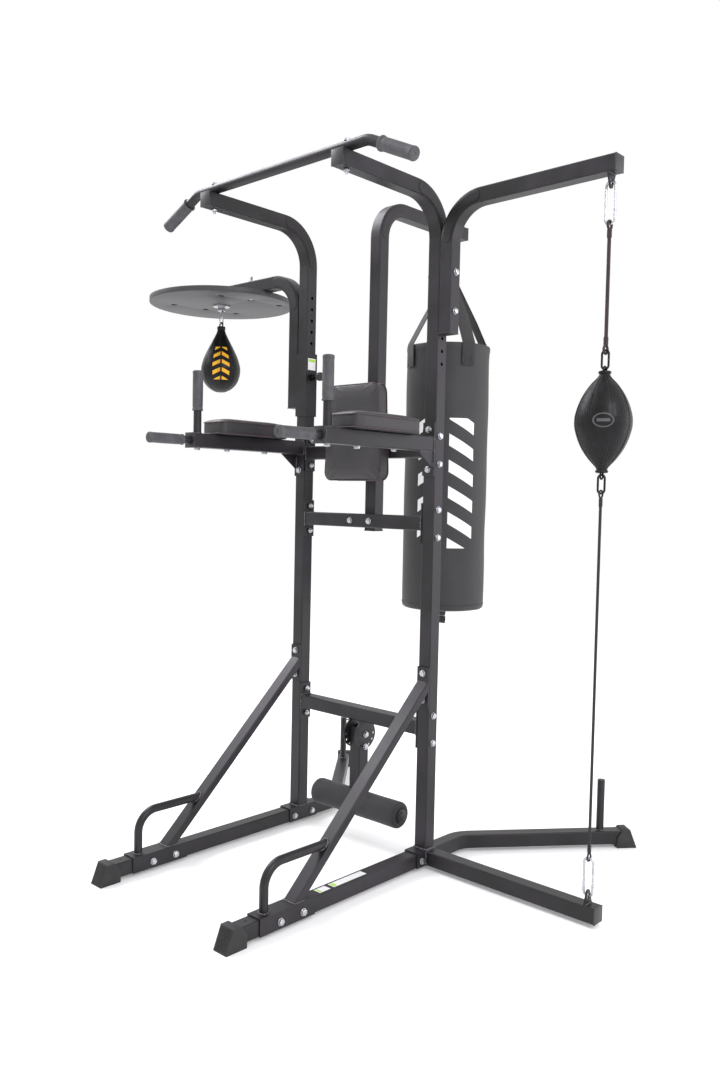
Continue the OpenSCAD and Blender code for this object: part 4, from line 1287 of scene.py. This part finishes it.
class TOWER_OT_roller(bpy.types.Operator):
    """Models the foam rollers"""

    bl_idname = "tower.roller"
    bl_label = "Foam rollers"

    def execute(self, context):
        for s, name, body in ((-1, "left_roller_foam", "left_roller"), (1, "right_roller_foam", "right_roller")):
            low, high = box(name)
            length = (high.x - low.x) / MM
            radius = (high.z - low.z) / 2 / MM
            start = Vector((low.x if s > 0 else high.x, (low.y + high.y) / 2, (low.z + high.z) / 2))
            profile = [(16, 2.0), (18, 0.4), (radius - 4, 0.0), (radius - 1.2, 1.2), (radius, 4.5)]
            profile += [(radius - 0.5 * math.sin(math.pi * step / 8) ** 2, 4.5 + (length - 16) * step / 8)
                        for step in range(1, 8)]
            profile += [(radius, length - 11), (radius - 1.4, length - 5.5), (radius - 5, length - 1.6),
                        (radius - 11, length - 0.2), (25, length), (23.4, length - 0.6), (22.6, length - 3)]
            foam = turned(profile, 72)
            place_by(foam, along(start, (s, 0, 0)))
            piece(foam, name + "_skin", "roller_foam", "roller_foam", body, name)
        return {"FINISHED"}


# ------------------------------------------------------------------ heavy bag

class TOWER_OT_heavy_bag(bpy.types.Operator):
    """Models the heavy bag's shell, hem, seams, straps and ring"""

    bl_idname = "tower.heavy_bag"
    bl_label = "Heavy bag"

    def execute(self, context):
        low, high = box("heavy_bag")
        axis = Vector((middle("heavy_bag").x, middle("heavy_bag").y, 0))
        radius = (high.x - low.x) / 2 / MM
        top = high.z / MM
        tab_drop = 59
        bottom = low.z / MM + tab_drop
        self.shell(axis, radius, bottom, top)
        self.seams(axis, radius, bottom, top)
        self.straps(context, axis, radius, top)
        return {"FINISHED"}

    @staticmethod
    def shell(axis, radius, bottom, top):
        profile = [(4, bottom + 1), (60, bottom - 1.5), (radius - 24, bottom - 0.5), (radius - 9, bottom + 2.5),
                   (radius - 3, bottom + 8), (radius - 1.2, bottom + 16)]
        rings = 44
        for index in range(1, rings):
            share = index / rings
            height = bottom + 16 + (top - bottom - 40) * share
            sag = 1.4 * math.sin(math.pi * share) ** 0.5 + 0.6 * math.sin(share * 17.0)
            profile.append((radius - 2.0 + sag, height))
        profile += [(radius - 1.6, top - 20), (radius - 0.6, top - 17), (radius, top - 14), (radius, top - 3),
                    (radius - 0.8, top), (radius - 3.0, top), (radius - 4.2, top - 3), (radius - 6, top - 14),
                    (radius - 30, top - 17), (60, top - 12), (5, top - 11)]
        shell = turned(profile, 128)
        for vertex in shell.data.vertices:
            angle = math.atan2(vertex.co.y, vertex.co.x)
            share = (vertex.co.z / MM - bottom) / (top - bottom)
            fold = (math.sin(angle * 3 + share * 9) * 0.8 + math.sin(angle * 7 - share * 21) * 0.45
                    + math.sin(angle * 13 + share * 33) * 0.25)
            body_part = max(0.0, min(1.0, (0.975 - share) * 30))
            reach = math.hypot(vertex.co.x, vertex.co.y)
            if reach > 0.1:
                scale = 1 + (fold - 1.3) * body_part * 0.6 * MM / reach
                vertex.co.x *= scale
                vertex.co.y *= scale
        place_by(shell, Matrix.Translation(axis))
        piece(shell, "heavy_bag_shell", "heavy_bag_vinyl", "heavy_bag_vinyl", "heavy_bag",
              "heavy_bag", smooth=50)

    @staticmethod
    def seams(axis, radius, bottom, top):
        made = []
        for height in (bottom + 22, top - 15.5):
            ring = [axis + Vector((math.cos(a), math.sin(a), 0)) * (radius - 0.9) * MM + Vector((0, 0, height * MM))
                    for a in (2 * math.pi * step / 160 for step in range(160))]
            made.append(wire(ring, 0.8 * MM, True))
        for turn in (2.15, 2.19):
            line = [axis + Vector((math.cos(turn), math.sin(turn), 0)) * (radius - 0.9) * MM
                    + Vector((0, 0, (bottom + 20 + (top - bottom - 40) * step / 40) * MM)) for step in range(41)]
            made.append(wire(line, 0.7 * MM))
        piece(joined(made), "heavy_bag_seams", "thread", "webbing", "heavy_bag", smooth=60)
        loops = []
        for level, drop, bulge in ((bottom, 29, 3.4), (bottom - 32, 25, 3.0)):
            tab = [axis + Vector((0, y * MM, (level - z) * MM)) for y, z in (
                (-bulge, -1), (-bulge - 0.6, drop * 0.5), (-bulge + 1, drop * 0.86), (0, drop),
                (bulge - 1, drop * 0.86), (bulge + 0.6, drop * 0.5), (bulge, -1))]
            loops.append(strip(tab, [Vector((1, 0, 0))] * len(tab), [13 * MM] * len(tab), 2.0 * MM))
        piece(joined(loops), "heavy_bag_bottom_tab", "webbing", "webbing", "heavy_bag")
        link = loop_points(21 * MM, 15 * MM, 5 * MM, 6)
        stand = Matrix.Translation(axis + Vector((0, 0, (bottom - 30) * MM)))
        stand = stand @ Matrix.Rotation(math.pi / 2, 4, "X")
        ring = wire([stand @ point for point in link], 1.5 * MM, True)
        piece(ring, "heavy_bag_bottom_ring", "zinc", "zinc", "heavy_bag")

    @staticmethod
    def straps(context, axis, radius, top):
        hang = pivot("heavy_bag_sway")
        ring_z = hang.z / MM - 6
        width = context.scene.tower_sizes.strap
        made = []
        stitches = []
        for degrees in (-25, 65, 155, 245):
            out = Vector((math.cos(math.radians(degrees)), math.sin(math.radians(degrees)), 0))
            across = Vector((-out.y, out.x, 0))
            skin = radius + 1.6
            route = [(skin, top - 78), (skin, top - 60), (skin, top - 40), (skin, top - 20), (skin, top - 4),
                     (skin - 1.5, top + 4), (skin - 8, top + 16)]
            tip = (15.0, ring_z - 20.0)
            start = route[-1]
            for step in range(1, 9):
                share = step / 9
                route.append((start[0] + (tip[0] - start[0]) * share,
                              start[1] + (tip[1] - start[1]) * share))
            route += [(9, ring_z - 15.0), (2.5, ring_z - 12.0)]
            path = [axis + out * (r * MM) + Vector((0, 0, z * MM)) for r, z in route]
            widths = [width / 2] * 10 + [width / 2 * (1 - 0.62 * step / 6) for step in range(1, len(path) - 9)]
            band = strip(path, [across] * len(path), widths, 2.4 * MM)
            made.append(modify(outwards(band), "BEVEL", width=0.6 * MM, segments=2, limit_method="ANGLE",
                               angle_limit=math.radians(60)))
            corners = [(-14, -73), (14, -73), (14, -45), (-14, -45)]
            lines = list(zip(corners, corners[1:] + corners[:1]))
            lines += [(corners[0], corners[2]), (corners[1], corners[3])]
            for (x1, z1), (x2, z2) in lines:
                ends = [axis + out * ((skin + 1.4) * MM) + across * (x * MM) + Vector((0, 0, (top + z) * MM))
                        for x, z in ((x1, z1), (x2, z2))]
                count = max(4, round((ends[1] - ends[0]).length / (3.2 * MM)))
                for step in range(count):
                    a = ends[0].lerp(ends[1], (step + 0.15) / count)
                    b = ends[0].lerp(ends[1], (step + 0.85) / count)
                    stitches.append(wire([a, b], 0.45 * MM, sides=1))
        ring = torus((axis.x, axis.y, ring_z * MM), 15, 4, 48, 16, (math.pi / 2, 0, 0))
        piece(joined(made), "heavy_bag_straps_shape", "webbing", "webbing", "heavy_bag", "heavy_bag_straps")
        piece(joined(stitches), "heavy_bag_strap_stitches", "thread", "webbing", "heavy_bag")
        piece(ring, "heavy_bag_ring", "zinc", "zinc", "heavy_bag")


# ------------------------------------------------------------------ small bags

def curve_profile(knots, steps):
    """Smooth (radius, height) pairs through a few knots, by Catmull-Rom."""
    points = [knots[0]] + list(knots) + [knots[-1]]
    made = []
    for index in range(1, len(points) - 2):
        p0, p1, p2, p3 = (Vector(points[index + shift]) for shift in (-1, 0, 1, 2))
        for step in range(steps):
            t = step / steps
            made.append(0.5 * (2 * p1 + (p2 - p0) * t + (2 * p0 - 5 * p1 + 4 * p2 - p3) * t * t
                               + (3 * p1 - p0 - 3 * p2 + p3) * t ** 3))
    made.append(Vector(knots[-1]))
    return [(max(point.x, 1.0), point.y) for point in made]


def panelled(profile, panels, depth, segments):
    """A turned shape whose seams between panels sink in."""
    obj = turned(profile, segments)
    for vertex in obj.data.vertices:
        reach = math.hypot(vertex.co.x, vertex.co.y)
        angle = math.atan2(vertex.co.y, vertex.co.x)
        nearest = abs((angle * panels / (2 * math.pi)) % 1 - 0.5) * 2
        sink = max(0.0, (nearest - 0.86) / 0.14) ** 1.5 * depth * min(1.0, reach / (30 * MM))
        scale = 1 - sink / max(reach, 1e-6)
        vertex.co.x *= scale
        vertex.co.y *= scale
    return obj


def meridians(profile, panels, lift, radius, axis):
    """Stitch threads beside the seams of a panelled shape."""
    made = []
    for index in range(panels):
        for offset in (-1, 1):
            angle = 2 * math.pi * index / panels
            points = []
            for r, z in profile:
                if r > 12:
                    turn = angle + offset * 3.0 / max(r, 12)
                    reach = r + lift
                    points.append(axis + Vector((math.cos(turn) * reach, math.sin(turn) * reach, z)) * MM)
            if len(points) > 2:
                made.append(wire(points, radius, sides=1))
    return made


class TOWER_OT_speed_bag(bpy.types.Operator):
    """Models the speed bag, its collar, loop and laces"""

    bl_idname = "tower.speed_bag"
    bl_label = "Speed bag"

    def execute(self, context):
        axis = Vector((CENTRE.x - 0.762, CENTRE.y, 0))
        top = 1797
        knots = [(13, top - 1), (14, top - 14), (19, top - 28), (31, top - 52), (48, top - 84),
                 (63, top - 116), (72, top - 146), (74, top - 166), (70, top - 192), (59, top - 217),
                 (40, top - 236), (18, top - 247), (3, top - 249)]
        profile = curve_profile(knots, 4)
        bag = panelled(list(reversed(profile)), 8, 1.3 * MM, 96)
        place_by(bag, Matrix.Translation(axis))
        piece(bag, "speed_bag_skin", "speed_leather", "bag_leather", "speed_bag",
                        "speed_bag", smooth=60)
        made = []
        collar = turned([(11, top - 12), (14.6, top - 12), (15.6, top - 9), (15.6, top - 2), (14.6, top + 1),
                         (11, top + 1.4)], 40)
        made.append(place_by(collar, Matrix.Translation(axis)))
        made.append(torus((axis.x, axis.y, (top + 8) * MM), 9, 2.6, 36, 12, (math.pi / 2, 0, 0)))
        for level in range(6):
            z = top - 30 - level * 7
            reach = 19.5 + level * 5.2 * 0.72
            turn = math.radians(150)
            centre = Vector((math.cos(turn), math.sin(turn), 0)) * reach
            tangent = Vector((-math.sin(turn), math.cos(turn), 0))
            for sign in SIDES:
                ends = [centre + tangent * sign * 5 + Vector((0, 0, z)),
                        centre * 1.05 + Vector((0, 0, z - 3.5)),
                        centre - tangent * sign * 5 + Vector((0, 0, z - 7))]
                made.append(wire([axis + point * MM for point in ends], 1.1 * MM))
        piece(joined(made), "speed_bag_collar", "plain_leather", "bag_leather", "speed_bag", smooth=50)
        threads = meridians(profile[3:-3], 8, 0.25, 0.3 * MM, axis)
        piece(joined(threads), "speed_bag_stitching", "thread", "bag_leather", "speed_bag")
        return {"FINISHED"}


class TOWER_OT_double_end_bag(bpy.types.Operator):
    """Models the double-end bag, its collars, laces and cords"""

    bl_idname = "tower.double_end_bag"
    bl_label = "Double-end bag"

    def execute(self, context):
        axis = Vector((CENTRE.x + 0.862, CENTRE.y, 0))
        middle_z, low, high = 1372, 1238, 1506
        upper = [(76.5, middle_z), (75, middle_z + 18), (67, middle_z + 46), (54, middle_z + 74),
                 (36, middle_z + 100), (21, middle_z + 116), (15, high - 10), (13.5, high)]
        lower = [(13.5, low), (15, low + 10), (21, middle_z - 116), (36, middle_z - 100),
                 (54, middle_z - 74), (67, middle_z - 46), (75, middle_z - 18)]
        profile = curve_profile(lower + upper, 4)
        bag = panelled(profile, 8, 1.5 * MM, 112)
        place_by(bag, Matrix.Translation(axis))
        piece(bag, "double_end_bag_skin", "end_leather", "bag_leather", "double_end_bag",
                        "double_end_bag", smooth=60)
        made = []
        for end, way in ((high, 1), (low, -1)):
            collar = turned([(9, -4), (15.5, -3), (17.5, 0.5), (16.5, 4), (13, 5.5), (8, 6)], 40)
            made.append(place_by(collar, along(axis + Vector((0, 0, (end - way * 3) * MM)), (0, 0, way))))
        made.append(torus((axis.x, axis.y, (high + 6) * MM), 8, 2.6, 36, 12, (0, math.pi / 2, 0)))
        ring = loop_points(13 * MM, 23 * MM, 6.4 * MM, 8)
        upright = Matrix.Translation(axis + Vector((0, 0, (low - 7) * MM))) @ Matrix.Rotation(
            math.pi / 2, 4, "Z") @ Matrix.Rotation(math.pi / 2, 4, "X")
        made.append(wire([upright @ point for point in ring], 2.5 * MM, True))
        turn = math.radians(118)
        out = Vector((math.cos(turn), math.sin(turn), 0))
        tangent = Vector((-out.y, out.x, 0))
        for level in range(7):
            z = middle_z + 66 - level * 9
            reach = 77 * math.sqrt(max(0.0, 1 - ((z - middle_z) / 122) ** 2)) ** 1.15
            for sign in SIDES:
                ends = [out * reach + tangent * sign * 6 + Vector((0, 0, z)),
                        out * (reach + 1.8) + Vector((0, 0, z - 4.5)),
                        out * (reach + 0.6) - tangent * sign * 6 + Vector((0, 0, z - 9))]
                made.append(wire([axis + point * MM for point in ends], 1.2 * MM))
        piece(joined(made), "double_end_bag_trim", "plain_leather", "bag_leather", "double_end_bag", smooth=50)
        threads = meridians(profile[4:-4], 8, 0.2, 0.3 * MM, axis)
        piece(joined(threads), "double_end_bag_stitching", "thread", "bag_leather", "double_end_bag")
        self.cord("upper_cord", "upper_sleeve", "double_end_bag", axis, 5.0)
        self.cord("lower_cord", "lower_sleeve", "lower_cord", axis, 4.0)
        return {"FINISHED"}

    @staticmethod
    def cord(node, finish, body, axis, radius):
        """A braided cord that is folded back and bound at both ends, with a loop at each."""
        low, high = box(node)
        bottom, top = low.z / MM, high.z / MM
        made = []
        loop_r = 8.5 + radius - 3
        for end, way in ((bottom, 1), (top, -1)):
            ring = []
            for step in range(25):
                angle = math.radians(-130 + 260 * step / 24)
                ring.append(axis + Vector((0, math.sin(angle) * loop_r,
                                           end + way * (radius - 1 + loop_r - math.cos(angle) * loop_r))) * MM)
            neck = end + way * (2 * loop_r + 9)
            for side, index in ((-1, 0), (1, -1)):
                tail = axis + Vector((0, side * radius * 0.35, neck)) * MM
                if index == 0:
                    ring.insert(0, tail)
                else:
                    ring.append(tail)
            made.append(wire(ring, (radius - 1.4) * MM, smooth=True))
            binding = [(radius * 1.0, 0), (radius * 1.28, 1.5)]
            binding += [(radius * (1.36 if turn % 2 else 1.24), 1.5 + turn * 1.6) for turn in range(1, 12)]
            binding += [(radius * 1.2, 22), (radius * 0.95, 23.5)]
            start = axis + Vector((0, 0, neck - way * 4)) * MM
            made.append(place_by(turned(binding, 24), along(start, (0, 0, way))))
        foot, length = bottom + 2 * loop_r + 8, top - bottom - 4 * loop_r - 16
        run = [axis + Vector((0, 0, foot + length * step / 30)) * MM for step in range(31)]
        made.append(wire(run, radius * MM, sides=4))
        piece(joined(made), node + "_braid", finish, "elastic_cord", body, node, smooth=60)


# ------------------------------------------------------------------ hooks, knob, labels

class TOWER_OT_hook_details(bpy.types.Operator):
    """Adds gate hinges and the knurled knob"""

    bl_idname = "tower.hook_details"
    bl_label = "Hook details"

    def execute(self, context):
        self.rivets("heavy_gate_open", 4.5, "heavy_carabiner", (1, 0, 0), "heavy_bag_carabiner_rivet")
        self.rivets("top_gate_open", 3.5, "top_hook", (0, 1, 0), "top_hook_rivet")
        self.rivets("floor_gate_open", 3.5, "floor_hook", (0, 1, 0), "floor_hook_rivet")
        self.knob()
        return {"FINISHED"}

    @staticmethod
    def rivets(joint, wire_radius, body, axis, name):
        """The rivet of the fork that the gate turns in."""
        centre = pivot(joint)
        reach = wire_radius + 1.6
        pin = turned([(1.2, -reach), (2.2, -reach + 0.3), (2.2, -reach + 1.0), (1.5, -reach + 1.2),
                      (1.5, reach - 1.2), (2.2, reach - 1.0), (2.2, reach - 0.3), (1.2, reach)], 20)
        piece(place_by(pin, along(centre, axis)), name, "zinc", "zinc", body)

    @staticmethod
    def knob():
        low, high = box("pop_pin_knob")
        centre = Vector((0, (low.y + high.y) / 2, (low.z + high.z) / 2))
        sleeve = low.x
        pin = turned([(3.0, 0), (4.5, 1.5), (4.5, 33.5)], 24)
        made = [place_by(pin, along(Vector((sleeve, centre.y, centre.z)), (1, 0, 0)))]
        start = high.x / MM - 18
        grip = turned([(8, 0.4), (11.5, 0.7), (12, 1.7), (12, 5.5), (13.2, 6.4), (15, 7.4), (15, 16), (14, 17.6),
                       (11, 18), (6, 17.4)], 72)
        for vertex in grip.data.vertices:
            reach = math.hypot(vertex.co.x, vertex.co.y)
            if reach > 12.5 * MM:
                angle = math.atan2(vertex.co.y, vertex.co.x)
                scale = 1 - 0.06 * max(0.0, math.cos(angle * 12))
                vertex.co.x *= scale
                vertex.co.y *= scale
        made.append(place_by(grip, along(Vector((start * MM, centre.y, centre.z)), (1, 0, 0))))
        piece(joined(made), "pop_pin_knob_shape", "black_plastic", "black_plastic", "pop_pin", "pop_pin_knob")


class TOWER_OT_labels(bpy.types.Operator):
    """Adds the blank labels on the sleeve and on the right floor tube"""

    bl_idname = "tower.labels"
    bl_label = "Labels"

    def execute(self, context):
        low, high = box("platform_sleeve")
        face = high.x + 0.1 * MM
        y = (low.y + high.y) / 2
        self.label("sleeve_label", "speed_carriage", Vector((face, y, 1.615)), (0, 1, 0), (0, 0, 1), 36, 40, 9)
        top = 57.15
        self.label("floor_label_front", "root", at(SIDE, -455, top), (-1, 0, 0), (0, -1, 0), 26, 42, 8)
        self.label("floor_label_back", "root", at(SIDE, -352, top), (-1, 0, 0), (0, -1, 0), 26, 136, 14)
        return {"FINISHED"}

    @staticmethod
    def label(name, body, centre, across, up, width, height, band):
        wide, tall = Vector(across), Vector(up)
        for part, finish, low, high in (("paper", "label_white", -height / 2, height / 2),
                                        ("band", "label_green", height / 2 - band - 3, height / 2 - 3)):
            lift = 0.0 if part == "paper" else 0.12
            path = [centre + tall * ((low + (high - low) * step / 6) * MM) + wide.cross(tall) * (lift * MM)
                    for step in range(7)]
            inner = width / 2 if part == "paper" else width / 2 - 2
            sheet = strip(path, [wide] * 7, [inner * MM] * 7, 0.2 * MM)
            piece(sheet, name + "_" + part, finish, "black_plastic", body)


# ------------------------------------------------------------------ stage

class TOWER_OT_camera(bpy.types.Operator):
    """Sets the camera at the viewing angle"""

    bl_idname = "tower.camera"
    bl_label = "Camera"

    def execute(self, context):
        yaw, pitch, roll = (math.radians(value) for value in (42.69, 2.63, 1.21))
        ahead = Vector((-math.sin(yaw) * math.cos(pitch), math.cos(yaw) * math.cos(pitch), -math.sin(pitch)))
        level = Vector((math.cos(yaw), math.sin(yaw), 0))
        above = level.cross(ahead)
        right = level * math.cos(roll) + above * math.sin(roll)
        up = above * math.cos(roll) - level * math.sin(roll)
        turn = Matrix((right, up, -ahead)).transposed().to_4x4()
        data = bpy.data.cameras.new("camera")
        data.sensor_width = 36.0
        data.lens = 31.27
        data.clip_end = 50.0
        camera = bpy.data.objects.new("camera", data)
        context.collection.objects.link(camera)
        camera.matrix_world = Matrix.Translation(at(2101.1, -2294.8, 1158.2)) @ turn
        context.scene.camera = camera
        return {"FINISHED"}


class TOWER_OT_stage(bpy.types.Operator):
    """Adds the pale floor and the soft studio light"""

    bl_idname = "tower.stage"
    bl_label = "Stage"

    def execute(self, context):
        nothing_selected()
        bpy.ops.mesh.primitive_plane_add(size=60, location=(0, 0, -0.0005))
        floor = bpy.context.object
        floor.name = "floor"
        graph = Graph("floor_paint", Roughness=0.85, Emission_Color=(1.0, 1.0, 1.0, 1.0),
                      Emission_Strength=0.14)
        dust = graph.noise(graph.place(), 0.6, 2.0)
        graph.set(Base_Color=graph.mix(dust, (0.86, 0.86, 0.86), (0.90, 0.90, 0.90)))
        floor.data.materials.append(graph.material)
        world = bpy.data.worlds.new("studio")
        world.use_nodes = True
        world.node_tree.nodes["Background"].inputs["Color"].default_value = (1.0, 1.0, 1.0, 1.0)
        world.node_tree.nodes["Background"].inputs["Strength"].default_value = 1.0
        context.scene.world = world
        self.panel("key", (4.2, -1.2, 3.4), (0.2, 0.1, 1.1), 2.0, 110)
        self.panel("mirror", (4.0, 4.0, 1.5), (0, 0, 1.1), 3.4, 60)
        self.panel("top", (-3.2, -0.6, 4.6), (0, -0.2, 0.6), 2.8, 220)
        context.scene.view_settings.view_transform = "Standard"
        return {"FINISHED"}

    @staticmethod
    def panel(name, place, target, size, power):
        data = bpy.data.lights.new(name, "AREA")
        data.shape = "RECTANGLE"
        data.size = size
        data.size_y = size
        data.energy = power
        data.color = (0.94, 0.92, 1.0)
        lamp = bpy.data.objects.new(name, data)
        bpy.context.collection.objects.link(lamp)
        lamp.visible_camera = False
        lamp.location = place
        lamp.rotation_mode = "QUATERNION"
        lamp.rotation_quaternion = (Vector(target) - Vector(place)).to_track_quat("-Z", "Y")


# ------------------------------------------------------------------ add-on

OPERATORS = (
    TOWER_OT_camera, TOWER_OT_frame_finishes, TOWER_OT_bend_pressings, TOWER_OT_welds,
    TOWER_OT_fasteners, TOWER_OT_tube_ends, TOWER_OT_grips, TOWER_OT_pads, TOWER_OT_roller,
    TOWER_OT_heavy_bag, TOWER_OT_speed_bag, TOWER_OT_double_end_bag, TOWER_OT_hook_details,
    TOWER_OT_labels, TOWER_OT_stage,
)


class TOWER_PT_panel(bpy.types.Panel):
    """Lists the settings and the pieces"""

    bl_idname = "TOWER_PT_panel"
    bl_label = "Power tower"
    bl_space_type = "VIEW_3D"
    bl_region_type = "UI"
    bl_category = "Power tower"

    def draw(self, context):
        column = self.layout.column()
        for group in (context.scene.tower_sizes, context.scene.tower_colours):
            for name in group.bl_rna.properties.keys():
                if name not in ("rna_type", "name"):
                    column.prop(group, name)
        for operator in OPERATORS:
            column.operator(operator.bl_idname)


CLASSES = (TowerSizes, TowerColours) + OPERATORS + (TOWER_PT_panel,)


def register():
    for item in CLASSES:
        bpy.utils.register_class(item)
    bpy.types.Scene.tower_sizes = bpy.props.PointerProperty(type=TowerSizes)
    bpy.types.Scene.tower_colours = bpy.props.PointerProperty(type=TowerColours)


def unregister():
    del bpy.types.Scene.tower_sizes
    del bpy.types.Scene.tower_colours
    for item in reversed(CLASSES):
        bpy.utils.unregister_class(item)


def main():
    register()
    for operator in OPERATORS:
        group, name = operator.bl_idname.split(".")
        getattr(getattr(bpy.ops, group), name)()
    nothing_selected()


if __name__ == "__main__":
    main()
